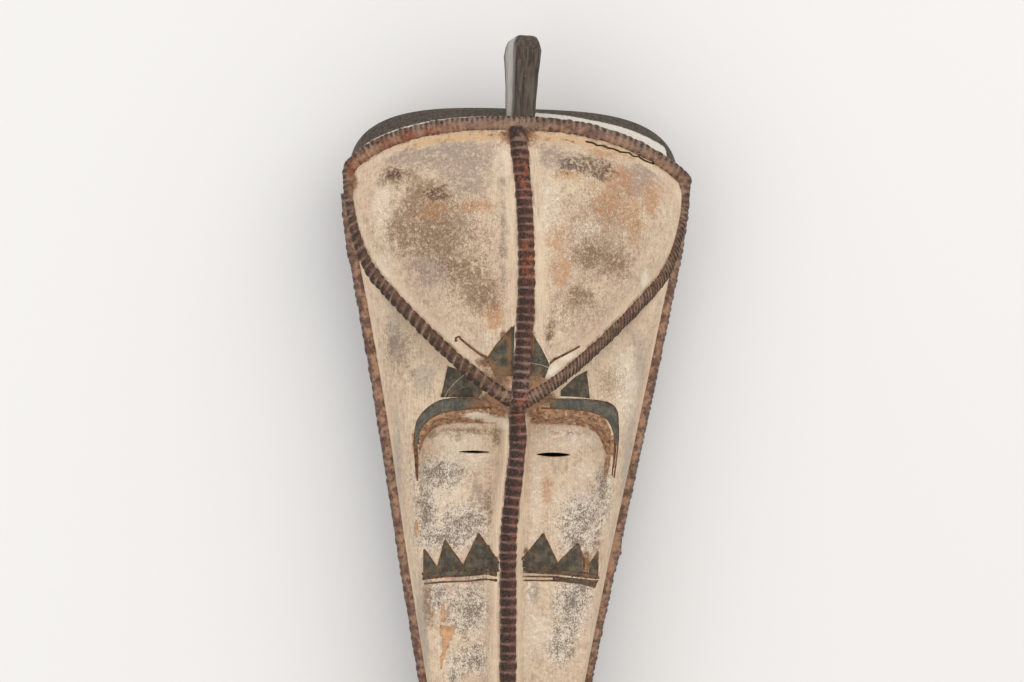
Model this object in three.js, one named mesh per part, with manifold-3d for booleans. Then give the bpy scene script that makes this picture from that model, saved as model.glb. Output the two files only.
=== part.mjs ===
// A carved wooden mask with a long narrow face, lying on its flat back edge with the face up.
// It is one hollowed piece of wood: a domed forehead framed by notched ridges, a face with two
// sunk eye niches and a long ridged nose, a notched band round the edge, and a crest post.
// Millimetres. +X is to the right of someone facing it, +Y runs from chin to crest and +Z
// points out of the face.
import * as THREE from "three";
import { mergeVertices } from "three/addons/utils/BufferGeometryUtils.js";
import Module from "manifold-3d";

const wasm = await Module();
wasm.setup();
const { Manifold, Mesh } = wasm;

// Outline, along the middle of the bands. Heights along Y are measured from the foot of the
// ledge over the eyes.
const browWidth = 270; // between the upper corners
const jawWidth = 54; // where the chin's arc begins
const cornerY = 198; // the upper corners
const parallelY = 201; // the sides run parallel above this
const taperY = 125; // and taper evenly below this
const jawY = -414; // where the chin's arc begins
const chinDrop = 44; // depth of the chin's arc
const chinShare = 0.9; // share of that arc in rows; the last row bows out to close it
const crownRise = 38.5; // the top rim's middle above the corners
const crownRoundness = 2.5;
const crownFullness = { left: 0.66, right: 0.95 }; // lower is fuller; the halves differ
const junctionY = 16; // where the brow ridges, forehead ridge and nose ridge meet
const browRise = { straight: 55, bowed: 60 }; // a brow ridge's rise, then a curl into the corner
const browCurlPower = 40;
const bow = { out: 2.6, y: 40, length: 130 }; // the outline bows to one side round this height

// Depth above the flat back edge.
const bandDepth = 60; // side bands
const chinBand = { drop: 6, above: 60, run: 100 }; // nearer the back round the chin
const cornerDepth = 86; // upper corners
const crownDepth = 112; // middle of the top rim
const junctionDepth = 136;
const browStep = { height: 13, width: 5, fade: 6 }; // down to the temples, fading at the corners
const templeCurve = 2; // how much steeper the temples sweep down at the outside
const foreheadSwell = 20; // the whole forehead's dome
const lobeSwell = 13; // each of its two lobes, above the strip beside the ridges
const lobeStrip = { rim: 34, brow: 42.5 }; // width of the hollow strip round each lobe

// Face.
const faceDepth = 110; // its surface beside the root of the nose
const chinFall = { along: 14, end: 16 }; // how much lower it lies towards the chin
const chinRun = 30; // it begins to fall this far above the chin's arc
const chinRoundness = 2.2;
const shoulderTop = 0.745; // outer edge of the cheeks, as a share of the half width
const shoulderLow = 0.95;
const shoulderLowY = -290;
const shoulderRoundness = 1.7;
const ledge = { height: 7, corner: 24, roundness: 8 }; // over the eyes, with its outer corner's drop
const nicheDepth = 14; // the niche floor below the ledge
const nicheRun = { from: 12, to: 90 }; // it comes level with the cheek between these distances
const nicheEdge = 5; // width of its side
const nose = {
  rootHalf: 6.5,
  tipHalf: 8,
  rootFlank: 6,
  tipFlank: 13,
  rootRise: 6,
  tipRise: 27,
  riseCurve: 1.3,
  tipY: -322,
  tipEdge: 9,
  sway: -6, // the carver's nose line wanders to one side
  swayLength: 100,
};
const nostril = { across: 9, along: 13, out: 10, apart: 12 }; // half sizes and place of each wing
const lips = { across: 20, along: 12, out: 12, y: -366 };
const mouthSlit = { width: 28, height: 5, depth: 9 };
const eyeSlit = { width: 25, height: 3, x: 31.5, y: -24 };

// Notched ridges: half width, height above the surface, depth of the root below it.
const ridge = { half: 7, rise: 6.5, root: 7 };
const band = { half: 7, rise: 6.5, root: 7 };
const ridgeTop = 0.68; // width of a ridge's flat crown, as a share
const notchPitch = 7.2;
const notchCut = 0.22; // depth of a notch, as a share of the ridge
const plainStep = 15; // rings of the top rim and the side band, whose notches are finer still
const noseRidgeEnd = 0.55; // the nose ridge tapers to this share at its tip
const overrun = 0.02; // a frame ridge's ends run past the middle by this share of the half width
const browShare = 0.58; // past this share of its length a frame ridge runs plain over the crown
const foreheadSway = { top: -4, middle: 2.2 }; // how the forehead ridge wanders
const ridgeLean = 0.35; // how far the frame ridge leans out from a point on the forehead
const leanCentre = 0.7; // that point's place from the junction to the corners
const bandStart = 185; // the side bands begin under the corners at this height

// The head behind the top rim, the walls and the hollow.
const domeRise = 55.5; // the dark band behind the rim, above the corners
const domeRoundness = 3.6;
const domeFullness = 0.4;
const wallFalls = [0, 0.12, 0.36, 0.62, 1]; // rings of the wall, from the front edge to the back
const domeShare = [0, -0.06, 1, 0.8, -0.4]; // how far each ring stands out at the dome
const sideInset = 6; // the back edge lies this far inside the bands
const wall = 12; // thickness of the back edge
const faceWall = 13; // thickness behind the face
const hollowFall = 0.55; // the hollow's vault comes down by this share at its sides
const hollowRoundness = 5;
const hollowArch = 0.4; // its upper end arches by this share of the top rim
const hollowTip = 4; // its least half width
const vaultRun = { from: 5, to: 75 }; // above the brows, the vault rises to the forehead over this run
const hollowReach = 20; // the hollow's cutter runs this far past the back edge

// Crest post, as rings from foot to top: height, width, front inset and back inset.
const crestDepth = 44;
const crestRings = [
  [-16, 17, 5, 12],
  [0, 18, 5, 10],
  [30, 19.5, 2.5, 5],
  [51, 21.5, 0, 0],
  [58, 20, 5, 0.5],
  [62.5, 16.5, 9, 2],
  [64, 12, 12, 5],
];
const crestBevel = 1.6;
const crestLean = 0.03; // it leans to one side by this share of its height
const crestTurn = THREE.MathUtils.degToRad(9); // its front faces slightly to one side
const crestFront = 7; // its front face above the top rim's centre

const { clamp, lerp, smoothstep } = THREE.MathUtils;
const faceRows = { ledge: 1, nose: 10, tip: 1, chin: 4, arc: 5 };
const faceRowCount = Object.values(faceRows).reduce((sum, count) => sum + count, 0);
const rows = { forehead: 9, temple: 4, face: faceRowCount };
const allRows = rows.forehead + rows.temple + rows.face;
const columns = 11; // on each side of the middle
const baseInset = 0.2; // the back face's inner points draw in by this share, into the hollow
const hollowGrid = { columns: 7, rows: 16 };
const lensSteps = 6; // along each side of a slit
const ballSteps = { round: 12, along: 6 };

const sequence = (count, from, to) => Array.from({ length: count + 1 }, (_, i) => lerp(from, to, i / count));
const vector = (x, y, z) => new THREE.Vector3(x, y, z);

// Half width of the outline: an even taper that eases into parallel sides and a rounded chin.
const taper = (browWidth - jawWidth) / 2 / (lerp(taperY, parallelY, 0.5) - jawY);
function halfWidth(y) {
  const over = clamp(y - taperY, 0, parallelY - taperY);
  const even = jawWidth / 2 + taper * (Math.min(y, taperY) - jawY);
  const eased = taper * (over - over ** 2 / (2 * (parallelY - taperY)));
  if (y >= jawY) return even + eased;
  return (jawWidth / 2) * Math.sqrt(1 - ((jawY - y) / chinDrop) ** 2);
}
const chinY = jawY - chinDrop * chinShare;

// Outline functions. s runs across the face, from 0 at the middle to 1 at a band.
const arch = (s, roundness, fullness) => Math.pow(Math.max(0, 1 - Math.pow(s, roundness)), fullness);
const fullness = (side) => (side < 0 ? crownFullness.left : crownFullness.right);
const crownY = (s, side) => cornerY + crownRise * arch(s, crownRoundness, fullness(side));
const domeY = (s) => cornerY + domeRise * arch(s, domeRoundness, domeFullness);
function browY(s) {
  const { straight, bowed } = browRise;
  const curl = cornerY - junctionY - straight - bowed;
  return junctionY + straight * s + bowed * s * s + curl * Math.pow(s, browCurlPower);
}
const ledgeY = (s) => ledge.height - ledge.corner * Math.pow(Math.min(1, s / shoulderTop), ledge.roundness);
const shoulder = (y) => lerp(shoulderTop, shoulderLow, clamp(y / shoulderLowY, 0, 1));
const noseCentre = (y) => nose.sway * smoothstep(-y, 0, nose.swayLength) * smoothstep(y, jawY, nose.tipY);
function placeX(side, s, y) {
  const bowed = bow.out * Math.exp(-(((y - bow.y) / bow.length) ** 2));
  return side * s * halfWidth(y) + bowed * s * s + noseCentre(y) * (1 - s ** 4);
}

// Depth of the forehead: s across, t from the top rim (0) to the brow ridges (1).
const crownZ = (s) => lerp(crownDepth, cornerDepth, s * s);
const browZ = (s) => lerp(junctionDepth, cornerDepth, Math.pow(s, 1.5));
const domedZ = (s, t) => lerp(crownZ(s), browZ(s), t) + foreheadSwell * Math.sin(Math.PI * t) * (1 - s * s);
function foreheadZ(s, t, side) {
  const top = crownY(s, side);
  const low = browY(s);
  const y = lerp(top, low, t);
  const aside = smoothstep(s * halfWidth(y), 0, lobeStrip.rim);
  const between = smoothstep(top - y, 0, lobeStrip.rim) * smoothstep(y - low, 0, lobeStrip.brow);
  return domedZ(s, t) + lobeSwell * between * aside;
}

// Depth of the face below the ledge: s across, y along.
const bandZ = (y) => bandDepth - chinBand.drop * clamp((jawY + chinBand.above - y) / chinBand.run, 0, 1);
const chinArc = (y) => clamp((jawY - y) / (jawY - chinY), 0, 1);
function barrelZ(s, y) {
  const end = smoothstep(jawY + chinRun - y, 0, chinDrop + 2 * chinRun);
  const top = faceDepth - chinFall.along * clamp(y / jawY, 0, 1) - chinFall.end * end;
  const reach = clamp((1 - s) / (1 - shoulder(y)), 0, 1);
  const full = (1 - Math.pow(1 - reach, shoulderRoundness)) * (1 - chinArc(y) ** chinRoundness);
  return bandZ(y) + (top - bandZ(y)) * full;
}
function noseAt(y) {
  const down = clamp(y / nose.tipY, 0, 1);
  const end = smoothstep(y, nose.tipY - nose.tipEdge, nose.tipY);
  return {
    half: lerp(nose.rootHalf, nose.tipHalf, down),
    flank: lerp(nose.rootFlank, nose.tipFlank, down),
    rise: lerp(nose.rootRise, nose.tipRise, Math.pow(down, nose.riseCurve)) * end,
  };
}
function noseShare(s, y) {
  const { half, flank } = noseAt(y);
  return 1 - smoothstep(s * halfWidth(y), half, half + flank);
}
function faceZ(s, y) {
  const share = noseShare(s, y);
  const below = ledgeY(s) - y;
  const level = 1 - smoothstep(below, nicheRun.from, nicheRun.to);
  const outer = (shoulder(y) - s) * halfWidth(y);
  const niche = nicheDepth * smoothstep(below, 0, ledge.height) * level * smoothstep(outer, 0, nicheEdge);
  return barrelZ(s, y) - niche * (1 - share) + noseAt(y).rise * share;
}

// Places between stops, with a count of steps for each gap.
function stepped(stops, counts, step) {
  let left = step;
  for (let i = 0; i < counts.length; i++) {
    if (left <= counts[i]) return lerp(stops[i], stops[i + 1], left / counts[i]);
    left -= counts[i];
  }
  return stops.at(-1);
}

// Columns of the face, packed at the nose's flanks and the cheek's edge.
function columnAt(across, y) {
  const w = halfWidth(y);
  const { half, flank } = noseAt(y);
  const edge = Math.min(nicheEdge / w, shoulder(y) / 5);
  const flankEnd = Math.min((half + flank) / w, shoulder(y) / 2);
  const stops = [0, Math.min(half / w, flankEnd / 2), flankEnd, shoulder(y) - edge, shoulder(y), 1];
  return stepped(stops, [1, 2, 5, 1, 2], across * columns);
}
const foreheadColumn = (across) => Math.sin((across * Math.PI) / 2);

// Heights of the face's rows below the ledge, packed at the nose's tip and the chin.
function rowY(start, step) {
  if (step <= 1) return start - ledge.height * step;
  const stops = [start - ledge.height, nose.tipY, nose.tipY - nose.tipEdge, jawY];
  const counts = [faceRows.nose, faceRows.tip, faceRows.chin];
  const arc = step - 1 - faceRows.nose - faceRows.tip - faceRows.chin;
  if (arc <= 0) return stepped(stops, counts, step - 1);
  return jawY - chinDrop * Math.sin((arc / faceRows.arc) * Math.asin(chinShare));
}

// A point of the front surface: u across from -1 to 1, v along from the top rim (0) to the chin (1).
function frontPoint(u, v) {
  const side = Math.sign(u);
  const across = Math.abs(u);
  const row = Math.round(v * allRows * 1000) / 1000;
  const temple = row - rows.forehead;
  const face = temple - rows.temple;
  if (temple <= 0) {
    const s = foreheadColumn(across);
    const t = row / rows.forehead;
    const y = lerp(crownY(s, side), browY(s), t);
    return vector(placeX(side, s, y), y, foreheadZ(s, t, side));
  }
  if (face <= 0) {
    const k = clamp((temple - 1) / (rows.temple - 1), 0, 1);
    const s = lerp(foreheadColumn(across), columnAt(across, 0), k);
    const edge = 1 - Math.pow(s, browStep.fade);
    const step = Math.min(1, temple) * edge;
    const y = lerp(browY(s) - browStep.width * step, ledgeY(s), k);
    const low = barrelZ(s, ledgeY(s)) + nose.rootRise * noseShare(s, 0);
    const fall = 1 - Math.pow(1 - k, 1 + templeCurve * s ** 4);
    return vector(placeX(side, s, y), y, lerp(browZ(s) - browStep.height * step, low, fall));
  }
  const y = rowY(ledgeY(columnAt(across, 0)), face);
  const s = columnAt(across, y);
  const closing = chinDrop * (1 - chinShare) * (1 - s * s) * chinArc(y) ** 2;
  return vector(placeX(side, s, y), y - closing, faceZ(s, y));
}

// The way out of the outline at a point of it.
function outward(point) {
  const hub = clamp(point.y, jawY, cornerY);
  return vector(point.x, point.y - hub, 0).normalize();
}

// A closed three.js geometry as a solid for cutting and joining.
function solid(geometry) {
  const bare = geometry.clone();
  for (const name of ["normal", "uv"]) bare.deleteAttribute(name);
  const merged = mergeVertices(bare, 1e-3);
  const index = merged.index.array;
  const triVerts = [];
  for (let i = 0; i < index.length; i += 3) {
    const [a, b, c] = [index[i], index[i + 1], index[i + 2]];
    if (a !== b && b !== c && c !== a) triVerts.push(a, b, c);
  }
  return new Manifold(
    new Mesh({
      numProp: 3,
      vertProperties: merged.getAttribute("position").array,
      triVerts: Uint32Array.from(triVerts),
    }),
  );
}

// A box bent into a solid: its upper face becomes the front, its sides the wall, its base the back.
function bentBox(grid, place) {
  const box = new THREE.BoxGeometry(2, 2, 2, 2 * grid.columns, grid.rows, grid.layers);
  const position = box.getAttribute("position");
  for (let i = 0; i < position.count; i++) {
    const u = position.getX(i);
    const v = (1 - position.getY(i)) / 2;
    const layer = Math.round(((1 - position.getZ(i)) / 2) * grid.layers);
    position.setXYZ(i, ...place(u, v, layer));
  }
  return solid(box);
}

function shellPoint(u, v, layer) {
  const point = frontPoint(u, v);
  const fall = wallFalls[layer];
  const rim = Math.abs(u) > 0.999 || Math.abs(2 * v - 1) > 0.999;
  if (!rim && fall === 1) point.lerp(vector(0, lerp(chinY, cornerY, 0.5), 0), baseInset);
  if (Math.abs(u) > 0.999 || v > 0.999) point.addScaledVector(outward(point), -sideInset * fall);
  if (v < 0.001) {
    const s = foreheadColumn(Math.abs(u));
    const stand = domeShare[layer] < 0 ? crownRise * arch(s, 2, 1) : domeY(s) - crownY(s, Math.sign(u));
    point.y += stand * domeShare[layer];
  }
  return [point.x, point.y, point.z * (1 - fall)];
}

// The hollow behind the face follows the outline, drawn in by the wall, under a smooth vault.
function hollowPoint(u, v, layer) {
  const side = Math.sign(u);
  const s = Math.abs(u);
  const top = crownY(s, side) - crownRise * hollowArch * arch(s, 2, 1) - wall;
  const y = lerp(top, chinY + wall + sideInset, v);
  const w = halfWidth(Math.max(y, jawY));
  const x = placeX(side, s, y) * (Math.max(hollowTip, w - wall - sideInset) / w);
  if (layer) return [x, y, -hollowReach];
  const brow = browY(s);
  const t = clamp((crownY(s, side) - y) / (crownY(s, side) - brow + 1), 0, 1);
  const face = barrelZ(0, y) - nicheDepth;
  const vault = lerp(face, domedZ(0, t), smoothstep(y - brow, vaultRun.from, vaultRun.to)) - faceWall;
  return [x, y, vault * (1 - hollowFall * Math.pow(s, hollowRoundness))];
}

// A ridge along a line of points, notched except between the shares of its length given as plain.
// up(point) is the way it stands out of the surface.
function notchedRidge(points, up, size, plain = [1, 1], endScale = 1) {
  const path = new THREE.CatmullRomCurve3(points);
  const length = path.getLength();
  const ringsIn = (from, to, step) => Math.max(1, Math.round(((to - from) * length) / step));
  const notched = (from, to) => {
    const count = 2 * ringsIn(from, to, notchPitch);
    return sequence(count, from, to).map((t, i) => [t, i % 2 ? 1 : 1 - notchCut]);
  };
  const smooth = sequence(ringsIn(...plain, plainStep), ...plain).map((t) => [t, 1]);
  const places = [
    ...(plain[0] > 0 ? notched(0, plain[0]).slice(0, -1) : []),
    ...(plain[1] > plain[0] ? smooth : [[1, 1]]),
    ...(plain[1] < 1 ? notched(plain[1], 1).slice(1) : []),
  ];
  const rings = places.length - 1;
  const tube = new THREE.CylinderGeometry(1, 1, 1, 4, rings, false, Math.PI / 4);
  const position = tube.getAttribute("position");
  for (let i = 0; i < position.count; i++) {
    const [t, cut] = places[Math.round((0.5 - position.getY(i)) * rings)];
    const scale = lerp(1, endScale, t);
    const at = path.getPointAt(t);
    const stand = up(at).normalize();
    const across = vector().crossVectors(path.getTangentAt(t), stand).normalize();
    const [wide, tall] = [Math.sign(position.getX(i)), Math.sign(position.getZ(i))];
    const middle = Math.abs(position.getX(i)) < 0.1 ? 0 : 1;
    at.addScaledVector(across, -wide * middle * size.half * scale * (tall > 0 ? ridgeTop * cut : 1));
    if (middle) at.addScaledVector(stand, tall > 0 ? size.rise * scale * cut : -size.root);
    position.setXYZ(i, at.x, at.y, at.z);
  }
  return solid(tube);
}

// Two ridges frame the forehead, each up one brow and over to the middle of the crown.
function frameRidge(side) {
  const brow = [...sequence(14, -overrun, 0.92), 0.96, 0.985].map((along) => {
    const s = Math.abs(along);
    return vector(placeX(along < 0 ? -side : side, s, browY(s)), browY(s), browZ(s));
  });
  const crown = sequence(11, 1, -overrun).map((along) => {
    const s = Math.abs(Math.sin((along * Math.PI) / 2));
    const here = along < 0 ? -side : side;
    return vector(placeX(here, s, cornerY), crownY(s, here), crownZ(s));
  });
  const centre = vector(0, lerp(junctionY, cornerY, leanCentre), 0);
  const lean = (point) => point.clone().sub(centre).setZ(0).normalize().multiplyScalar(ridgeLean).setZ(1);
  return notchedRidge([...brow, ...crown], lean, ridge, [browShare, 1]);
}

function foreheadRidge() {
  const points = sequence(12, 0, 1).map((t) => {
    const x = foreheadSway.top * (1 - t) ** 3 + foreheadSway.middle * Math.sin(Math.PI * t);
    return vector(x, lerp(crownY(0, 1), browY(0), t), foreheadZ(0, t, 1));
  });
  return notchedRidge(points, () => vector(0, 0.1, 1), ridge);
}

function noseRidge() {
  const first = (rows.forehead + 1) / allRows;
  const points = sequence(8, first, (rows.forehead + rows.temple) / allRows).map((v) => frontPoint(0, v));
  for (const y of sequence(14, -ledge.height, nose.tipY)) points.push(vector(noseCentre(y), y, faceZ(0, y)));
  return notchedRidge(points, () => vector(0, 0.05, 1), ridge, [1, 1], noseRidgeEnd);
}

// The band round the sides and the chin, from one upper corner to the other.
function sideBand() {
  const first = (rows.forehead + 0.2) / allRows;
  const down = (u) => sequence(90, first, 1).map((v) => frontPoint(u, v)).filter((p) => p.y < bandStart);
  const around = sequence(6, -1, 1).slice(1, -1).map((u) => frontPoint(u, 1));
  const out = (point) => outward(point).setZ(1);
  return notchedRidge([...down(-1), ...around, ...down(1).reverse()], out, band, [0, 1]);
}

// A lens-shaped cutter for a slit, its length along X.
function slitCutter(size, depth) {
  const lens = new THREE.Shape();
  lens.moveTo(-size.width / 2, 0);
  lens.quadraticCurveTo(0, size.height, size.width / 2, 0);
  lens.quadraticCurveTo(0, -size.height, -size.width / 2, 0);
  return new THREE.ExtrudeGeometry(lens, { depth, bevelEnabled: false, curveSegments: lensSteps });
}

function ball(size, x, y, z) {
  const sphere = new THREE.SphereGeometry(1, ballSteps.round, ballSteps.along);
  sphere.scale(size.across, size.along, size.out);
  sphere.translate(x, y, z);
  return solid(sphere);
}

function crestPost() {
  const last = crestRings.length - 1;
  const post = new THREE.CylinderGeometry(1, 1, 1, 8, last, false, Math.PI / 8);
  const position = post.getAttribute("position");
  for (let i = 0; i < position.count; i++) {
    const ring = crestRings[Math.round((position.getY(i) + 0.5) * last)];
    const [height, width, front, back] = ring;
    const [x, z] = [position.getX(i), position.getZ(i)];
    if (Math.hypot(x, z) < 0.5) {
      position.setXYZ(i, 0, height, (back - front) / 2);
      continue;
    }
    const insetX = Math.abs(x) < Math.abs(z) ? crestBevel : 0;
    const insetZ = crestBevel - insetX;
    const atX = Math.sign(x) * (width / 2 - insetX);
    const atZ = z > 0 ? crestDepth / 2 - front - insetZ : insetZ + back - crestDepth / 2;
    position.setXYZ(i, atX + crestLean * height, height, atZ);
  }
  post.rotateY(crestTurn);
  post.translate(0, crownY(0, 1) + band.half, crownDepth + crestFront - crestDepth / 2);
  return solid(post);
}

const shell = bentBox({ columns, rows: allRows, layers: wallFalls.length - 1 }, shellPoint);
const hollow = bentBox({ ...hollowGrid, layers: 1 }, hollowPoint);
const eyes = [-1, 1].map((side) => {
  const slit = slitCutter(eyeSlit, junctionDepth);
  slit.translate(side * eyeSlit.x, eyeSlit.y, 0);
  return solid(slit);
});
const mouth = slitCutter(mouthSlit, 2 * mouthSlit.depth);
mouth.translate(noseCentre(lips.y), lips.y, faceZ(0, lips.y) + lips.out - mouthSlit.depth);

const tip = vector(noseCentre(nose.tipY), nose.tipY, barrelZ(0, nose.tipY));
const carving = [
  frameRidge(-1),
  frameRidge(1),
  foreheadRidge(),
  noseRidge(),
  sideBand(),
  crestPost(),
  ball(nostril, tip.x - nostril.apart, tip.y + nostril.along / 2, tip.z + nostril.out / 2),
  ball(nostril, tip.x + nostril.apart, tip.y + nostril.along / 2, tip.z + nostril.out / 2),
  ball(lips, noseCentre(lips.y), lips.y, faceZ(0, lips.y)),
];
const carved = Manifold.union([shell, ...carving]);
const mask = Manifold.difference([carved, hollow, ...eyes, solid(mouth)]);

const made = mask.getMesh();
const geometry = new THREE.BufferGeometry();
geometry.setAttribute("position", new THREE.BufferAttribute(made.vertProperties, 3));
geometry.setIndex(new THREE.BufferAttribute(made.triVerts, 1));
const wood = new THREE.MeshStandardMaterial({ color: 0xcdb699, roughness: 0.85, metalness: 0 });
const body = new THREE.Mesh(geometry.toNonIndexed(), wood);
body.name = "mask";
body.geometry.computeVertexNormals();
body.geometry.computeBoundingBox();
const middle = body.geometry.boundingBox.getCenter(vector(0, 0, 0));
body.position.set(-middle.x, -middle.y, 0);

const group = new THREE.Group();
group.add(body);
export default group;
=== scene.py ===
# A long carved mask lying face up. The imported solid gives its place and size, and this script
# gives it its carving, paint and wear. Shapes are in millimetres until they are placed.
import math
import random

import bmesh
import bpy
import numpy
from mathutils import Matrix, Vector, kdtree, noise
from mathutils.bvhtree import BVHTree


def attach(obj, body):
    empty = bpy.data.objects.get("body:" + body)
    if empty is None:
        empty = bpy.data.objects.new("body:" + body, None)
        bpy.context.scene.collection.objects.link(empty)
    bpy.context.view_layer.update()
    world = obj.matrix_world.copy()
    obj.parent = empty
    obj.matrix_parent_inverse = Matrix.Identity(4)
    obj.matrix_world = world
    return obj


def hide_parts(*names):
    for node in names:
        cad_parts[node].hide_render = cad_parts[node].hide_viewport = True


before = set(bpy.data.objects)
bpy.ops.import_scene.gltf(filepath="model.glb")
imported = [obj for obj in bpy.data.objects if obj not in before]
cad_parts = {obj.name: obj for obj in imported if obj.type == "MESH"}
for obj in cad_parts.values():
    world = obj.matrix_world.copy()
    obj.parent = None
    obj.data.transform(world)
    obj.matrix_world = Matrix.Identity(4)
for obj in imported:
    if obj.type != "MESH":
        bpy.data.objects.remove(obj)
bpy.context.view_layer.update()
scene = bpy.context.scene
print("frame loaded")


# camera: where the photograph was taken from, about a metre and a half above the face
view = {
    "target": (-0.0005, 0.1445, 0.060),
    "distance": 1.54,
    "aside": 5.0,   # degrees to the left of straight above
    "roll": 1.0,
    "lens": 66.35,
    "sensor": 36,
}


def makeCamera():
    aside = math.radians(view["aside"])
    back = Vector((-math.sin(aside), 0, math.cos(aside)))
    across = Vector((math.cos(aside), 0, math.sin(aside)))
    axes = Matrix((across, back.cross(across), back)).transposed()
    camera = bpy.data.objects.new("camera", bpy.data.cameras.new("camera"))
    camera.data.sensor_width = view["sensor"]
    camera.data.lens = view["lens"]
    camera.location = Vector(view["target"]) + back * view["distance"]
    camera.rotation_euler = (axes @ Matrix.Rotation(math.radians(view["roll"]), 3, "Z")).to_euler()
    scene.collection.objects.link(camera)
    scene.camera = camera


makeCamera()
print("camera")


# studio: a pale floor, a soft sky and a wide soft light from the upper right
studio = {
    "floorSize": 6.0,
    "floorColour": (0.79, 0.78, 0.765, 1),
    "floorRoughness": 0.9,
    "sky": (1.0, 0.99, 0.98, 1),
    "skyStrength": 0.9,
    "key": {"place": (1.0, 1.3, 1.9), "size": 2.4, "power": 15, "colour": (1.0, 0.98, 0.95)},
    "fill": {"place": (-1.4, -0.3, 2.0), "size": 2.0, "power": 11, "colour": (0.95, 0.97, 1.0)},
    "aim": (0, 0.15, 0),
}


def makeStudio():
    scene.view_settings.view_transform = "Standard"
    world = bpy.data.worlds.new("studio")
    world.use_nodes = True
    world.node_tree.nodes["Background"].inputs["Color"].default_value = studio["sky"]
    world.node_tree.nodes["Background"].inputs["Strength"].default_value = studio["skyStrength"]
    scene.world = world
    for name in ("key", "fill"):
        lamp = studio[name]
        light = bpy.data.lights.new(name, "AREA")
        light.size = lamp["size"]
        light.energy = lamp["power"]
        light.color = lamp["colour"]
        holder = bpy.data.objects.new(name, light)
        holder.location = lamp["place"]
        holder.rotation_euler = (Vector(studio["aim"]) - holder.location).to_track_quat("-Z", "Y").to_euler()
        scene.collection.objects.link(holder)
    bm = bmesh.new()
    bmesh.ops.create_grid(bm, x_segments=1, y_segments=1, size=studio["floorSize"] / 2)
    floor = finishObject(bm, "floor")
    material = bpy.data.materials.new("floor")
    material.use_nodes = True
    surface = material.node_tree.nodes["Principled BSDF"]
    surface.inputs["Base Color"].default_value = studio["floorColour"]
    surface.inputs["Roughness"].default_value = studio["floorRoughness"]
    floor.data.materials.append(material)


def finishObject(bm, name):
    mesh = bpy.data.meshes.new(name)
    bm.to_mesh(mesh)
    bm.free()
    made = bpy.data.objects.new(name, mesh)
    scene.collection.objects.link(made)
    return made


makeStudio()
print("studio")


# outline and depths, as in the solid
shape = {
    "shift": (-0.861, 79.230),   # from these millimetres to the frame's origin
    "browWidth": 270, "jawWidth": 54, "cornerY": 198, "parallelY": 201, "taperY": 125,
    "jawY": -414, "chinDrop": 44, "chinShare": 0.9,
    "crownRise": 38.5, "crownRoundness": 2.5, "crownFullness": {-1: 0.66, 1: 0.95},
    "junctionY": 16, "browStraight": 55, "browBowed": 60, "browCurlPower": 40,
    "bowOut": 2.6, "bowY": 40, "bowLength": 130,
    "bandDepth": 60, "chinBandDrop": 6, "cornerDepth": 86, "crownDepth": 112, "junctionDepth": 136,
    "browStep": 13, "browStepWidth": 5, "foreheadSwell": 19.3, "lobeSwell": 12.3, "rimStrip": 34,
    "browStrip": 42.5, "faceDepth": 110, "chinFallAlong": 14, "chinFallEnd": 16, "chinRun": 30,
    "chinRoundness": 2.2, "shoulderTop": 0.745, "shoulderLow": 0.95, "shoulderLowY": -290,
    "shoulderRoundness": 1.7, "ledgeHeight": 7, "ledgeCorner": 24, "ledgeRoundness": 8,
    "nicheDepth": 14, "nicheEdge": 5, "domeRise": 55.5, "domeRoundness": 3.6, "domeFullness": 0.4,
    "sideInset": 6, "wall": 12, "faceWall": 13, "nicheFade": (12, 90),
    "chinBandStart": 60, "chinBandRun": 100,
}
nose = {
    "rootHalf": 6.5, "tipHalf": 8, "rootFlank": 6, "tipFlank": 13, "rootRise": 6, "tipRise": 27,
    "riseCurve": 1.3, "tipY": -322, "tipEdge": 9, "sway": -6, "swayLength": 100,
}


def clamp(value, low=0.0, high=1.0):
    return max(low, min(high, value))


def lerp(start, end, share):
    return start + (end - start) * share


def smooth(value, low, high):
    share = clamp((value - low) / (high - low))
    return share * share * (3 - 2 * share)


def place(x, y, z):
    return Vector((x + shape["shift"][0], y + shape["shift"][1], z)) * 0.001


taperRun = (shape["taperY"] + shape["parallelY"]) / 2 - shape["jawY"]
taper = (shape["browWidth"] - shape["jawWidth"]) / 2 / taperRun


def halfWidth(y):
    run = shape["parallelY"] - shape["taperY"]
    over = clamp(y - shape["taperY"], 0, run)
    if y < shape["jawY"]:
        share = (shape["jawY"] - y) / shape["chinDrop"]
        return shape["jawWidth"] / 2 * math.sqrt(max(0, 1 - share * share))
    even = shape["jawWidth"] / 2 + taper * (min(y, shape["taperY"]) - shape["jawY"])
    return even + taper * (over - over * over / (2 * run))


def arch(s, roundness, fullness):
    return max(0, 1 - s ** roundness) ** fullness


def crownY(s, side):
    fullness = shape["crownFullness"][-1 if side < 0 else 1]
    return shape["cornerY"] + shape["crownRise"] * arch(s, shape["crownRoundness"], fullness)


def domeY(s):
    return shape["cornerY"] + shape["domeRise"] * arch(s, shape["domeRoundness"], shape["domeFullness"])


def browY(s):
    curl = shape["cornerY"] - shape["junctionY"] - shape["browStraight"] - shape["browBowed"]
    even = shape["junctionY"] + shape["browStraight"] * s + shape["browBowed"] * s * s
    return even + curl * s ** shape["browCurlPower"]


def ledgeY(s):
    outer = min(1, s / shape["shoulderTop"])
    return shape["ledgeHeight"] - shape["ledgeCorner"] * outer ** shape["ledgeRoundness"]


def shoulder(y):
    return lerp(shape["shoulderTop"], shape["shoulderLow"], clamp(y / shape["shoulderLowY"]))


def noseCentre(y):
    return nose["sway"] * smooth(-y, 0, nose["swayLength"]) * smooth(y, shape["jawY"], nose["tipY"])


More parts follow.
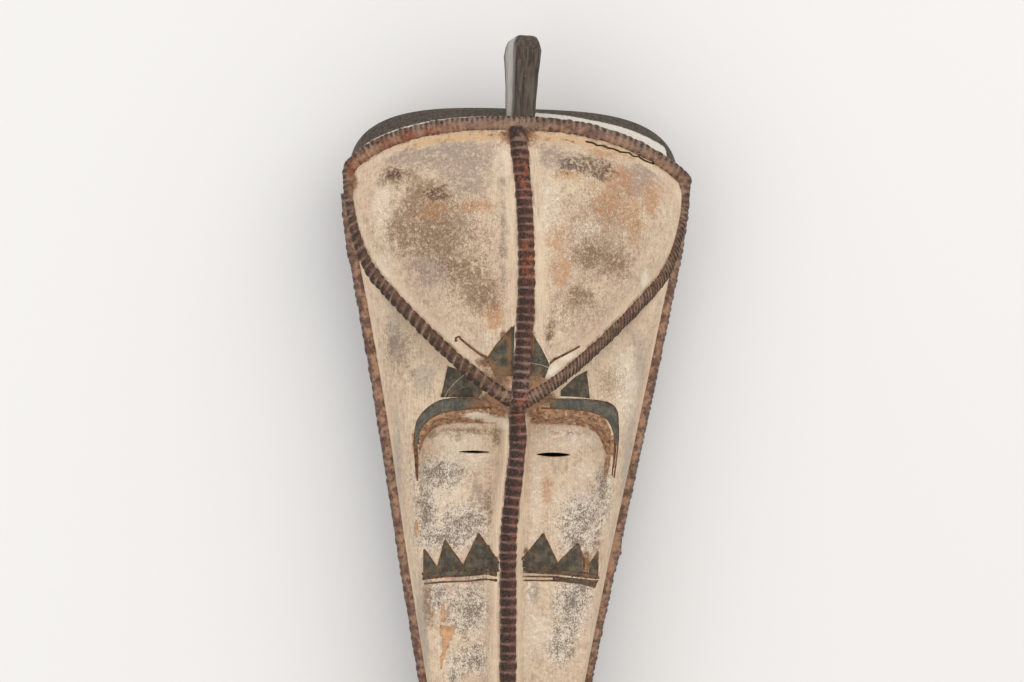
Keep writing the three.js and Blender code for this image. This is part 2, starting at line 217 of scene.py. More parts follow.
def placeX(side, s, y):
    bowed = shape["bowOut"] * math.exp(-(((y - shape["bowY"]) / shape["bowLength"]) ** 2))
    return side * s * halfWidth(y) + bowed * s * s + noseCentre(y) * (1 - s ** 4)


def crownZ(s):
    return lerp(shape["crownDepth"], shape["cornerDepth"], s * s)


def browZ(s):
    return lerp(shape["junctionDepth"], shape["cornerDepth"], s ** 1.5)


def domedZ(s, t):
    return lerp(crownZ(s), browZ(s), t) + shape["foreheadSwell"] * math.sin(math.pi * t) * (1 - s * s)


def foreheadZ(s, t, side):
    top, low = crownY(s, side), browY(s)
    y = lerp(top, low, t)
    between = smooth(top - y, 0, shape["rimStrip"]) * smooth(y - low, 0, shape["browStrip"])
    return domedZ(s, t) + shape["lobeSwell"] * between * smooth(s * halfWidth(y), 0, shape["rimStrip"])


chinY = shape["jawY"] - shape["chinDrop"] * shape["chinShare"]


def bandZ(y):
    down = clamp((shape["jawY"] + shape["chinBandStart"] - y) / shape["chinBandRun"])
    return shape["bandDepth"] - shape["chinBandDrop"] * down


def chinArc(y):
    return clamp((shape["jawY"] - y) / (shape["jawY"] - chinY))


def barrelZ(s, y):
    end = smooth(shape["jawY"] + shape["chinRun"] - y, 0, shape["chinDrop"] + 2 * shape["chinRun"])
    top = shape["faceDepth"] - shape["chinFallAlong"] * clamp(y / shape["jawY"]) - shape["chinFallEnd"] * end
    reach = clamp((1 - s) / (1 - shoulder(y)))
    full = (1 - (1 - reach) ** shape["shoulderRoundness"]) * (1 - chinArc(y) ** shape["chinRoundness"])
    return bandZ(y) + (top - bandZ(y)) * full


def noseAt(y):
    down = clamp(y / nose["tipY"])
    end = smooth(y, nose["tipY"] - nose["tipEdge"], nose["tipY"])
    half = lerp(nose["rootHalf"], nose["tipHalf"], down)
    flank = lerp(nose["rootFlank"], nose["tipFlank"], down)
    return half, flank, lerp(nose["rootRise"], nose["tipRise"], down ** nose["riseCurve"]) * end


def noseShare(s, y):
    half, flank, _ = noseAt(y)
    return 1 - smooth(s * halfWidth(y), half, half + flank)


def ledgeRamp(s, y):
    # 0 on the brow, 1 on the niche's floor and in between on the ledge's worn edge
    down = clamp((ledgeY(s) - y) / shape["ledgeHeight"])
    outer = clamp((shoulder(y) - s) * halfWidth(y) / shape["nicheEdge"])
    return min(down, outer)


def faceZ(s, y):
    share = noseShare(s, y)
    level = 1 - smooth(ledgeY(s) - y, *shape["nicheFade"])
    sunk = shape["nicheDepth"] * ledgeRamp(s, y) * level * (1 - share)
    return barrelZ(s, y) - sunk + noseAt(y)[2] * share


def stepped(stops, counts, step):
    for i, count in enumerate(counts):
        if step <= count:
            return lerp(stops[i], stops[i + 1], step / count)
        step -= count
    return stops[-1]


columnSteps = [1, 2, 5, 1, 2]   # over the nose, its flank, the cheek, the niche's edge and the side


def columnAt(across, y):
    wide = halfWidth(y)
    half, flank, _ = noseAt(y)
    edge = min(shape["nicheEdge"] / wide, shoulder(y) / 5)
    flankEnd = min((half + flank) / wide, shoulder(y) / 2)
    stops = [0, min(half / wide, flankEnd / 2), flankEnd, shoulder(y) - edge, shoulder(y), 1]
    return stepped(stops, columnSteps, across * sum(columnSteps))


def foreheadColumn(across):
    return math.sin(across * math.pi / 2)


# rows run down the front: the forehead to browRow, the temples to faceRow and the face to lastRow
browRow, faceRow, lastRow = 9, 13, 34
faceSteps = [10, 1, 4]   # under the ledge: along the nose, its tip and on to the jaw
arcStart = 1 + sum(faceSteps)


def rowY(start, step):
    if step <= 1:
        return start - shape["ledgeHeight"] * step
    stops = [start - shape["ledgeHeight"], nose["tipY"], nose["tipY"] - nose["tipEdge"], shape["jawY"]]
    if step <= arcStart:
        return stepped(stops, faceSteps, step - 1)
    arc = (step - arcStart) / (lastRow - faceRow - arcStart)
    return shape["jawY"] - shape["chinDrop"] * math.sin(arc * math.asin(shape["chinShare"]))


def frontPoint(u, row):
    side, across = (-1 if u < 0 else 1), abs(u)
    temple, face = row - browRow, row - faceRow
    if temple <= 0:
        s, t = foreheadColumn(across), row / browRow
        y = lerp(crownY(s, side), browY(s), t)
        return placeX(side, s, y), y, foreheadZ(s, t, side), s
    if face <= 0:
        k = clamp((temple - 1) / (faceRow - browRow - 1))
        s = lerp(foreheadColumn(across), columnAt(across, 0), k)
        step = min(1, temple) * (1 - s ** 6)
        y = lerp(browY(s) - shape["browStepWidth"] * step, ledgeY(s), k)
        low = barrelZ(s, ledgeY(s)) + nose["rootRise"] * noseShare(s, 0)
        fall = 1 - (1 - k) ** (1 + 2 * s ** 4)
        return placeX(side, s, y), y, lerp(browZ(s) - shape["browStep"] * step, low, fall), s
    y = rowY(ledgeY(columnAt(across, 0)), face)
    s = columnAt(across, y)
    closing = shape["chinDrop"] * (1 - shape["chinShare"]) * (1 - s * s) * chinArc(y) ** 2
    return placeX(side, s, y), y - closing, faceZ(s, y), s


def outward(x, y):
    away = Vector((x, y - clamp(y, shape["jawY"], shape["cornerY"]), 0))
    return away.normalized()


# carved ridges: paths, sizes and the spacing of their notches
ridges = {
    "size": {"half": 7, "rise": 6.5, "root": 7, "rootShare": 0.75},
    "squareness": 0.85,
    "beadStops": (0, 0.08, 0.2, 0.4, 0.6, 0.8, 0.92),
    "fineBeadStops": (0, 0.16, 0.5, 0.84),   # on beads no longer than finePitch
    "finePitch": 4.5,
    "beadRoundness": 0.7,
    "pitchSpread": (0.84, 1.16),
    "heightSpread": (0.88, 1.0),
    "uneven": 0.07,
    "unevenGrain": (0.18, 0.5),
    "sideCut": 0.4,   # how much of a notch's depth shows in the outline
    "lean": 0.35,
    "overrun": 0.02,
    "browPitch": {-1: 7.0, 1: 3.4},
    "crownPitch": {-1: 3.9, 1: 5.4},
    "browScale": {-1: 0.9, 1: 0.8},
    "crownScale": 0.92,
    "crownCut": 0.22,
    "browCut": {-1: 0.5, 1: 0.28},
    "browSkew": {-1: -0.25, 1: 0.55},   # how far the notches slant
    "frameSeed": 3, "foreheadSeed": 11, "noseSeed": 12, "bandSeed": 13,
    "frameDust": (0.8, 0.5),   # round the crown and along the brow
    "foreheadPitch": 7.0,
    "headPitch": 15,   # the smooth wrapped head at the rim
    "foreheadCut": (0.32, 0.14),
    "nosePitch": 7.3,
    "noseCut": (0.16, 0.38),
    "noseStart": 0.92,
    "bandPitch": {-1: 6.8, 1: 5.0},
    "foreheadSway": (-4, 3.8),
    "foreheadHalf": 8.1,
    "noseHalf": 7.7,
    "noseEnd": 0.62,
    # y, and how far the ridge leaves the middle of the nose there
    "noseWander": ((-322, 0), (-215, 2.6), (-150, 2.0), (-100, 1.0), (-40, 1.6), (-5, 2.2), (16, 0)),
    "bandStart": 185,
    "bandCut": 0.17,
    "bandBreak": 126,   # above this the left band is thicker
    "bandScale": {"high": 1.08, "low": 0.98},
    "bandLump": {"y": -106, "size": 0.24, "reach": 9},   # on the right band
}
paintLayers = ("bead", "tone", "dust", "inner", "crown")   # the finishes read these on the mesh


def closed(bm):
    # doubles merged, ends filled and faces turned outwards
    bmesh.ops.remove_doubles(bm, verts=bm.verts, dist=1e-6)
    bmesh.ops.holes_fill(bm, edges=rimIn(bm.edges), sides=0)
    bmesh.ops.recalc_face_normals(bm, faces=bm.faces)
    return bm


def vertsIn(geometry):
    return [g for g in geometry if isinstance(g, bmesh.types.BMVert)]


def rimIn(geometry):
    return [g for g in geometry if isinstance(g, bmesh.types.BMEdge) and g.is_boundary]


def paintedBmesh():
    bm = bmesh.new()
    for name in paintLayers:
        bm.verts.layers.float.new(name)
    return bm


def alongPath(points):
    # how far along the path each point is
    lengths = [0.0]
    for a, b in zip(points, points[1:]):
        lengths.append(lengths[-1] + (b - a).length)
    return lengths


def pathAt(points, lengths, distance):
    low, high = 0, len(lengths) - 1
    while high - low > 1:
        middle = (low + high) // 2
        if lengths[middle] <= distance:
            low = middle
        else:
            high = middle
    share = clamp((distance - lengths[low]) / max(1e-9, lengths[high] - lengths[low]))
    return points[low].lerp(points[high], share)


def notchedRidge(points, up, size, pitchAt, seed, cutAt, scaleAt, skewAt=None, innerSide=1, sides=12,
                 dusty=lambda t: 0):
    rng = random.Random(seed)
    lengths = alongPath(points)
    total = lengths[-1]
    stations, start, bead = [], 0.0, 0
    while start < total - 0.5:
        pitch = pitchAt(start / total) * rng.uniform(*ridges["pitchSpread"])
        end = start + pitch if start + 1.5 * pitch < total else total
        for share in ridges["beadStops" if pitch > ridges["finePitch"] else "fineBeadStops"]:
            stations.append((start + share * (end - start), share, bead))
        start, bead = end, bead + 1
    stations.append((total, 0, bead))
    tones = [rng.random() for _ in range(bead + 2)]
    heights = [rng.uniform(*ridges["heightSpread"]) for _ in range(bead + 2)]
    profile = [(size["rootShare"] * size["half"], -size["root"])]
    for i in range(sides + 1):
        angle = math.pi * i / sides
        c, d = math.cos(angle), math.sin(angle)
        across = math.copysign(abs(c) ** ridges["squareness"], c)
        profile.append((size["half"] * across, size["rise"] * d ** ridges["squareness"]))
    profile.append((-size["rootShare"] * size["half"], -size["root"]))
    bm = paintedBmesh()
    layers = bm.verts.layers.float
    rows, around = len(stations) - 1, len(profile)
    bmesh.ops.create_grid(bm, x_segments=rows, y_segments=around, size=1)
    for v in bm.verts:
        i, j = round((v.co.x + 1) / 2 * rows), round((v.co.y + 1) / 2 * around) % around
        distance, share, number = stations[i]
        t = distance / total
        across, tall = profile[j]
        roundness = math.sin(math.pi * share) ** ridges["beadRoundness"]
        cut, scale = cutAt(t), scaleAt(t)
        v[layers["inner"]] = innerSide * across / size["half"]
        v[layers["bead"]] = roundness
        v[layers["tone"]] = tones[number]
        v[layers["dust"]] = dusty(t)
        v[layers["crown"]] = max(0, tall / size["rise"])
        skew = skewAt(t) * across if skewAt and 0 < i < rows else 0
        spot = pathAt(points, lengths, clamp(distance + skew, 0, total))
        after, before = min(total, distance + 2), max(0, distance - 2)
        ahead = pathAt(points, lengths, after) - pathAt(points, lengths, before)
        stand = up(spot).normalized()
        sideways = stand.cross(ahead.normalized()).normalized()
        if tall >= 0:
            broad, fine = ridges["unevenGrain"]
            uneven = noise.noise(spot * broad) + noise.noise((spot + stand * 9) * fine)
            uneven = 1 + ridges["uneven"] * uneven
            across *= scale * uneven * lerp(1 - ridges["sideCut"] * cut, heights[number], roundness)
            tall *= scale * min(1, uneven) * lerp(1 - cut, heights[number], roundness)
        v.co = place(*(spot + sideways * across + stand * tall))
    return closed(bm)


def spread(start, end, count):
    return [lerp(start, end, i / count) for i in range(count + 1)]


def framePath(side):
    points = []
    for along in spread(-ridges["overrun"], 0.9, 60) + spread(0.905, 0.99, 18):
        s = abs(along)
        points.append(Vector((placeX(-side if along < 0 else side, s, browY(s)), browY(s), browZ(s))))
    browLength = alongPath(points)[-1]
    for along in spread(1, -ridges["overrun"], 60):
        s, here = abs(math.sin(along * math.pi / 2)), (-side if along < 0 else side)
        points.append(Vector((placeX(here, s, shape["cornerY"]), crownY(s, here), crownZ(s))))
    return rounded(points, 6), browLength


def rounded(points, times):
    # eases the corners of a path, its ends kept
    for _ in range(times):
        between = [(a + 2 * b + c) / 4 for a, b, c in zip(points, points[1:], points[2:])]
        points = [points[0], *between, points[-1]]
    return points


def frameLean(point):
    centre = Vector((0, lerp(shape["junctionY"], shape["cornerY"], 0.7), 0))
    away = (Vector((point.x, point.y, 0)) - centre).normalized() * ridges["lean"]
    return Vector((away.x, away.y, 1))


def foreheadPath():
    top, middle = ridges["foreheadSway"]
    points = []
    for t in spread(0, 1, 80):
        x = top * (1 - t) ** 3 + middle * math.sin(math.pi * t)
        points.append(Vector((x, lerp(crownY(0, 1), browY(0), t), foreheadZ(0, t, 1))))
    return points


def nosePath():
    points = [Vector(frontPoint(0, row)[:3]) for row in spread(browRow + 1, faceRow, 24)]
    for y in spread(-shape["ledgeHeight"], nose["tipY"], 120):
        wander = float(numpy.interp(y, *zip(*ridges["noseWander"])))
        points.append(Vector((noseCentre(y) + wander, y, faceZ(0, y))))
    return rounded(points, 6)


def bandPath():
    def down(u):
        points = [Vector(frontPoint(u, row)[:3]) for row in spread(browRow + 0.2, lastRow, 260)]
        return [p for p in points if p.y < ridges["bandStart"]]
    around = [Vector(frontPoint(u, lastRow)[:3]) for u in spread(-1, 1, 24)[1:-1]]
    return rounded([*down(-1), *around, *reversed(down(1))], 3)


paths = {
    "left": framePath(-1)[0], "right": framePath(1)[0], "forehead": foreheadPath(),
    "nose": nosePath(), "band": bandPath(),
}


def frameRidge(side):
    points, browLength = framePath(side)
    browShare = browLength / alongPath(points)[-1]

    def onBrow(t):
        return smooth(browShare - t, 0, 0.06)

    def scaleAt(t):
        brow = ridges["browScale"][side] + 0.1 * smooth(t, 0.08, 0)
        return lerp(ridges["crownScale"], brow, onBrow(t))
    return notchedRidge(
        points, frameLean, ridges["size"],
        lambda t: ridges["browPitch"][side] if t < browShare else ridges["crownPitch"][side],
        ridges["frameSeed"] + side, scaleAt=scaleAt,
        cutAt=lambda t: lerp(ridges["crownCut"], ridges["browCut"][side], onBrow(t)),
        skewAt=lambda t: ridges["browSkew"][side] * smooth(t, 0.05, 0.15) * onBrow(t),
        innerSide=side, dusty=lambda t: lerp(*ridges["frameDust"], onBrow(t)))


def foreheadRidge():
    # its notches are worn just above the junction
    size = {**ridges["size"], "half": ridges["foreheadHalf"]}
    return notchedRidge(
        paths["forehead"], lambda p: Vector((0, 0.1, 1)), size,
        lambda t: ridges["headPitch" if t < 0.05 else "foreheadPitch"], ridges["foreheadSeed"],
        cutAt=lambda t: lerp(*ridges["foreheadCut"], smooth(t, 0.75, 0.95)),
        scaleAt=lambda t: 0.95 - 0.07 * smooth(t, 0.1, 0.2) + 0.05 * smooth(t, 0.5, 0.8))


def noseRidge():
    size = {**ridges["size"], "half": ridges["noseHalf"]}
    return notchedRidge(
        paths["nose"], lambda p: Vector((0, 0.05, 1)), size,
        lambda t: ridges["nosePitch"], ridges["noseSeed"],
        cutAt=lambda t: lerp(*ridges["noseCut"], smooth(t, 0.1, 0.25)),
        scaleAt=lambda t: lerp(ridges["noseStart"], ridges["noseEnd"], smooth(t, 0.68, 1)))


def bandRidge():
    lengths = alongPath(paths["band"])
    scales, lump = ridges["bandScale"], ridges["bandLump"]

    def scaleAt(t):
        y = pathAt(paths["band"], lengths, t * lengths[-1]).y
        if t < 0.5:
            return scales["high" if y > ridges["bandBreak"] else "low"]
        return scales["low"] + lump["size"] * math.exp(-((y - lump["y"]) / lump["reach"]) ** 2)
    return notchedRidge(
        paths["band"], lambda p: outward(p.x, p.y) + Vector((0, 0, 1)), ridges["size"],
        lambda t: ridges["bandPitch"][-1 if t < 0.5 else 1], ridges["bandSeed"],
        cutAt=lambda t: ridges["bandCut"], scaleAt=scaleAt, sides=10, dusty=lambda t: 1)


def makeRidges():
    return {"left": frameRidge(-1), "right": frameRidge(1), "forehead": foreheadRidge(),
            "nose": noseRidge(), "band": bandRidge()}


# body: one grid bent into the front, drawn down into the walls and closed at the back
body = {
    "columns": 104,
    "rowCounts": [(0, 9, 90), (9, 10, 3), (10, 13, 48), (13, 14, 4), (14, 24, 140), (24, 25, 4),
                  (25, 29, 36), (29, 34, 24)],
    "falls": [0, 0.03, 0.07, 0.12, 0.16, 0.2, 0.24, 0.28, 0.32, 0.36, 0.42, 0.48, 0.55, 0.62, 0.72, 0.84, 1],
    "domeShares": [0, -0.06, 1, 0.8, -0.4],   # how far the top rim's wall stands out, and over which falls
    "domeFalls": [0.12, 0.24, 0.26, 0.38],
    "toolMarks": 0.3,
    "roughness": 0.1,
}


def makeBody():
    rows = [body["rowCounts"][0][0]]
    for start, end, count in body["rowCounts"]:
        rows += spread(start, end, count)[1:]
    last, half = len(rows) - 1, body["columns"] / 2
    bm = paintedBmesh()
    layers = bm.verts.layers.float
    uLayer, rowLayer = layers.new("u"), layers.new("row")
    bmesh.ops.create_grid(bm, x_segments=body["columns"], y_segments=last, size=1)
    for v in bm.verts:
        u, row = round(v.co.x * half) / half, rows[round((1 - v.co.y) / 2 * last)]
        x, y, z, s = frontPoint(u, row)
        v[uLayer], v[rowLayer] = u, row
        inside = smooth(1 - abs(u), 0, 0.04) * smooth(row, 0, 0.6)
        z += inside * (body["toolMarks"] * noise.noise(Vector((x, y * 0.6, 3)) * 0.07)
                       + body["roughness"] * noise.noise(Vector((x, y * 0.7, 9)) * 0.35))
        v.co = place(x, y, z)
    front = set(bm.faces)
    ring = rimIn(bm.edges)
    for fall in body["falls"][1:]:
        drawn = bmesh.ops.extrude_edge_only(bm, edges=ring)["geom"]
        for v in vertsIn(drawn):
            u, row = v[uLayer], v[rowLayer]
            x, y, z, s = frontPoint(u, row)
            if abs(u) > 0.999 or row > lastRow - 0.001:
                out = outward(x, y) * -shape["sideInset"] * fall
                x, y = x + out.x, y + out.y
            if row < 0.001:
                share = stepped(body["domeShares"], body["domeFalls"], fall)
                s = foreheadColumn(abs(u))
                y += share * (shape["crownRise"] * arch(s, 2, 1) if share < 0 else domeY(s) - crownY(s, u))
            v.co = place(x, y, z * (1 - fall))
        ring = rimIn(drawn)
    bmesh.ops.contextual_create(bm, geom=ring)
    for face in bm.faces:
        face.material_index = 0 if face in front else 2   # clay in front, wood elsewhere
    bmesh.ops.recalc_face_normals(bm, faces=bm.faces)
    for name in ("row", "u"):
        layers.remove(layers[name])
    return bm


# hollow: what is taken out behind the face, with the marks of a gouge
hollow = {
    "columns": 40, "rows": 96, "fall": 0.55, "roundness": 5, "arch": 0.4, "tip": 4, "rise": (5, 75),
    "gouge": 1.3, "below": 0.02,
}


def makeHollow():
    bm = paintedBmesh()
    bmesh.ops.create_grid(bm, x_segments=hollow["columns"], y_segments=hollow["rows"], size=1)
    for v in bm.verts:
        u, t = v.co.x, (1 - v.co.y) / 2
        side, s = (-1 if u < 0 else 1), min(1, abs(u))
        top = crownY(s, side) - shape["crownRise"] * hollow["arch"] * arch(s, 2, 1) - shape["wall"]
        y = lerp(top, chinY + shape["wall"] + shape["sideInset"], t)
        wide = halfWidth(max(y, shape["jawY"]))
        x = placeX(side, s, y) * max(hollow["tip"], wide - shape["wall"] - shape["sideInset"]) / wide
        low = browY(s)
        down = clamp((crownY(s, side) - y) / (crownY(s, side) - low + 1))
        face = barrelZ(0, y) - shape["nicheDepth"]
        vault = lerp(face, domedZ(0, down), smooth(y - low, *hollow["rise"])) - shape["faceWall"]
        marks = noise.cell(Vector((x * 0.11 + 0.3 * noise.noise(Vector((x, y, 0)) * 0.05), y * 0.045, 2)))
        z = vault * (1 - hollow["fall"] * s ** hollow["roundness"]) - hollow["gouge"] * marks * (1 - s ** 6)
        v.co = place(x, y, z)
    ring = rimIn(bm.edges)
    drawn = bmesh.ops.extrude_edge_only(bm, edges=ring)["geom"]
    for v in vertsIn(drawn):
        v.co.z = -hollow["below"]
    bmesh.ops.contextual_create(bm, geom=rimIn(drawn))
    bmesh.ops.recalc_face_normals(bm, faces=bm.faces)
    return bm


# crest post: height, width, front inset and back inset of each ring
crest = {
    "rings": [(-16, 17, 5, 12), (0, 18, 5, 10), (30, 19.5, 2.5, 5), (51, 21.5, 0, 0), (58, 20, 5, 0.5),
              (62.5, 16.5, 9, 2), (63.9, 12, 12, 5)],
    "rows": 40, "around": 32, "depth": 44, "front": 7, "behind": 7,
    "squareness": 12, "uneven": 0.25, "lean": 0.03, "turn": 9,
}


def makeCrest():
    rings, square = crest["rings"], crest["squareness"]
    footZ = shape["crownDepth"] + crest["front"] - crest["depth"] / 2
    foot = Vector((0, crownY(0, 1) + crest["behind"], footZ))
    bm = paintedBmesh()
    bmesh.ops.create_grid(bm, x_segments=crest["rows"], y_segments=crest["around"], size=1)
    turn = Matrix.Rotation(math.radians(crest["turn"]), 3, "Y")
    dust = bm.verts.layers.float["dust"]
    for v in bm.verts:
        along = (v.co.x + 1) / 2 * (len(rings) - 1)
        angle = (v.co.y + 1) * math.pi
        k = min(int(along), len(rings) - 2)
        height, width, front, back = (lerp(a, b, along - k) for a, b in zip(rings[k], rings[k + 1]))
        c, d = math.cos(angle), math.sin(angle)
        corner = (abs(c) ** square + abs(d) ** square) ** (-1 / square)
        depth = crest["depth"] / 2 - (front if d > 0 else back)
        spot = Vector((c * corner * width / 2 + crest["lean"] * height, height, d * corner * depth))
        spot.x += crest["uneven"] * noise.noise(spot * 0.11)
        # the left face is set in the dust layer and so whitened: a painted sheen of the light from the sky
        # and the wall
        v[dust] = smooth(-c, 0.75, 0.95)
        v.co = place(*(turn @ spot + foot))
    return closed(bm)


# small forms: nostrils, lips and the cutters of the slits
features = {
    "nostril": (9, 13, 10), "nostrilsApart": 12,
    "lips": (20, 12, 12), "lipsY": -366, "mouth": (28, 2.6, 9),
    "eyes": [(-31.3, -23.4, 25, 2.0), (32.0, -24.8, 27, 3.4)],   # x, y, width and height
    "eyeCut": (40, 130), "pinch": 0.35,
}


def makeBall(size, x, y, z):
    bm = paintedBmesh()
    bmesh.ops.create_uvsphere(bm, u_segments=32, v_segments=18, radius=1)
    for v in bm.verts:
        v.co = place(v.co.x * size[0] + x, v.co.y * size[1] + y, v.co.z * size[2] + z)
    return bm


def makeSlit(x, y, width, height, low, high):
    bm = paintedBmesh()
    bmesh.ops.create_circle(bm, segments=32, radius=1, cap_ends=True)
    for v in bm.verts:
        thin = 1 - features["pinch"] * v.co.x ** 2
        v.co = place(x + v.co.x * width / 2, y + v.co.y * height / 2 * thin, low)
    top = bmesh.ops.extrude_face_region(bm, geom=bm.faces[:])["geom"]
    for v in vertsIn(top):
        v.co.z = high * 0.001
    bmesh.ops.recalc_face_normals(bm, faces=bm.faces)
    return bm


# paint and wear by place, with painted shade under the ledges and a painted highlight beside the nose:
# middle, then reach across and along, in millimetres
spots = {
    "mauve": [(-14, 150, 4, 60), (-97, 212, 30, 12), (-54, 211, 34, 14), (-44, 190, 20, 18),
        (24, 208, 20, 9), (91, 192, 18, 16), (105, 206, 16, 9), (-70, 120, 20, 16), (-94, 59, 9, 14),
        (-77, 73, 7, 9), (-37, -82, 13, 18), (17, -134, 7, 15), (-27, -61, 9, 14), (60, -60, 10, 12),
        (-30, -130, 8, 10), (-42, -123, 26, 2.4), (30, -119.5, 24, 2.6), (-40, -300, 12, 30)],
    "brown": [(-97, 192, 16, 9), (-73, 175, 18, 18), (-69, 145, 30, 20), (-43, 117, 18, 14),
        (-92, 153, 16, 18), (52, 132, 15, 14), (74, 127, 15, 11), (45, 100, 12, 10), (-33, 101, 16, 12),
        (22, 74, 5, 12), (57, -137, 5, 16), (47, -177, 4, 16), (-66, -82, 6, 16), (-65, -145, 6, 20),
        (-19, -70, 5, 16), (66, -95, 5, 14), (-40, -80, 12, 14), (52, -84, 12, 12), (46, -146, 8, 22),
        # the last five brown spots, under the ledges at y -7 to -13, are painted shade
        (-34, -152, 9, 16), (-49, -149, 4, 9), (30, -260, 6, 24), (-40, -7, 30, 3), (40, -7, 20, 2),
        (-66, -10, 5, 4), (-44, -13, 5, 3), (-14, -12, 4, 8)],
    "deep": [(50, 205, 16, 7), (36, 202, 8, 6), (62, 199, 12, 7), (-68, 178, 8, 7), (-98, 194, 7, 5),
        (20, 72, 3, 8)],
    "rust": [(63, 215, 13, 5), (76, 195, 14, 12), (34, 194, 12, 6), (68, 172, 16, 18), (104, 181, 9, 16),
        (-70, 165, 12, 10), (23, 146, 9, 13), (-20, 84, 9, 12), (26, -55, 5, 14), (34, -10, 7, 5),
        (-36, 168, 17, 6), (88, 160, 8, 20), (30, 120, 8, 14)],
    # the long narrow pale strip at (14, -150) lightens the right flank of the nose: a painted highlight
    "pale": [(14, -150, 4, 70), (45, -12, 26, 10), (-45, -14, 24, 7), (88, 30, 12, 36), (18, -50, 5, 36),
        (50, 152, 12, 9), (22, 172, 8, 34), (-108, 166, 8, 22), (-105, 120, 7, 18), (-56, -56, 20, 12),
        (53, -60, 24, 11), (-40, -28, 22, 9), (23, -166, 11, 16), (59, -37, 11, 8), (-16, 205, 8, 12),
        (-30, -230, 14, 26)],
    "flecks": [(-60, 150, 44, 50), (62, 150, 44, 56), (-30, 96, 22, 18), (40, 90, 22, 18),
        (-94, 59, 18, 34), (76, 33, 16, 16)],
    "speckle": [(-58, -40, 24, 12), (-70, -72, 8, 26), (-40, -80, 20, 16), (-55, -92, 18, 8),
        (56, -74, 20, 18), (72, -48, 7, 16), (50, -92, 12, 10), (-34, -148, 18, 22), (-28, -188, 14, 12),
        (-58, -136, 6, 12), (46, -146, 14, 26), (56, -130, 8, 14), (38, -178, 10, 12), (-45, -200, 6, 14),
        (36, -240, 12, 30)],
    "cool": [(-76, 36, 10, 10), (-97, 70, 7, 16), (-92, -49, 5, 54), (84, -128, 5, 41), (94, -32, 7, 54),
        (101, 46, 7, 27), (-70, -170, 6, 60), (-66, -110, 6, 30)],
    "smear": [(-15, 36, 12, 10), (13, 34, 9, 9), (-27, 48, 7, 5), (-20, 20, 11, 7), (22, 20, 11, 6),
        (-12, 11, 9, 8), (13, 11, 9, 8), (-31, 14, 8, 5), (-8.5, 60, 1.8, 16), (9, 66, 2, 10),
        (-14, 70, 3, 4), (-131, 188, 4, 9), (10, -101, 2.2, 5), (58.7, -111, 4, 13), (-2, 226, 18, 9)],
    "white": [(-31, 6, 12, 3), (-17, 2.5, 9, 3), (-9, -2, 4, 3), (27, 43, 6, 6), (37, 54, 9, 4),
        (101, 117, 4, 8), (-12, 238, 4, 5), (8, 60, 2, 20)],
    "glow": [(3, 130, 12, 18), (0, 193, 12, 12), (-1, 14, 14, 9), (-86, 226, 42, 16), (-130, 202, 16, 14)],
    "grey": [(-2, 232, 20, 18), (0, 36, 9, 14), (-12, 26, 8, 8), (12, 28, 9, 10), (-40, 240, 24, 8),
        (90, 226, 26, 12)],
}


def spotField(x, y, places):
    clear = numpy.ones_like(x)
    for middleX, middleY, across, along in places:
        clear *= 1 - numpy.exp(-((x - middleX) / across) ** 2 - ((y - middleY) / along) ** 2)
    return 1 - clear


# the whitened strip behind the top rim, broader on the right, and the crust under the rim
rimPaint = {
    "stripe": {"right": 13.5, "widening": 0.1, "wideFrom": 60, "left": 9.2, "lap": 4, "end": 124, "post": 12,
               "limit": 9, "drop": 38},
    "under": {"y": 10, "half": 6, "end": 110, "fade": 30, "lowest": 90},
    "moat": 6,   # half a ridge's width
}


def stripeLevel(x, behind):
    # over 0 in the strip
    strip = rimPaint["stripe"]
    if abs(x) <= strip["post"]:
        return -strip["limit"]
    edge = strip["right"] + strip["widening"] * max(0, x - strip["wideFrom"]) if x > 0 else strip["left"]
    level = min(edge - behind, behind + strip["lap"], strip["end"] - abs(x), strip["limit"])
    return max(-strip["limit"], level)


def paintFields(mesh):
    # what the finishes need to know of each place, kept as attributes on the finished mesh
    tree = kdtree.KDTree(sum(len(points) for points in paths.values()))
    for k, point in enumerate([p for points in paths.values() for p in points]):
        tree.insert(point, k)
    tree.balance()
    count = len(mesh.vertices)
    flat = numpy.empty(count * 3)
    mesh.vertices.foreach_get("co", flat)
    spot = flat.reshape(-1, 3) * 1000 - numpy.array([*shape["shift"], 0])
    values = {name: spotField(spot[:, 0], spot[:, 1], places) for name, places in spots.items()}
    for name in ("moat", "ledge", "stripe", "under"):
        values[name] = numpy.zeros(count)
    under = rimPaint["under"]
    for k, (x, y, z) in enumerate(spot):
        values["moat"][k] = max(0, tree.find((x, y, z))[2] - rimPaint["moat"])
        top = min(1, abs(x) / halfWidth(shape["cornerY"]))
        behind = y - crownY(top, x)
        values["stripe"][k] = min(stripeLevel(x, behind), z - crownZ(top) + rimPaint["stripe"]["drop"])
        if z > under["lowest"]:
            near = max(0, 1 - abs(-behind - under["y"]) / under["half"])
            values["under"][k] = near * smooth(under["end"] - abs(x), 0, under["fade"])
        values["ledge"][k] = ledgeShare(x, y)
    for name, value in values.items():
        mesh.attributes.new(name, "FLOAT", "POINT").data.foreach_set("value", value.astype(numpy.float32))


# the worn edge over each niche and down its outer side
ledgePaint = {
    "height": 17, "overhang": 5, "noseGap": (11, 14), "sideWidth": 2, "sideEnd": (-55, -30), "side": 0.9,
}


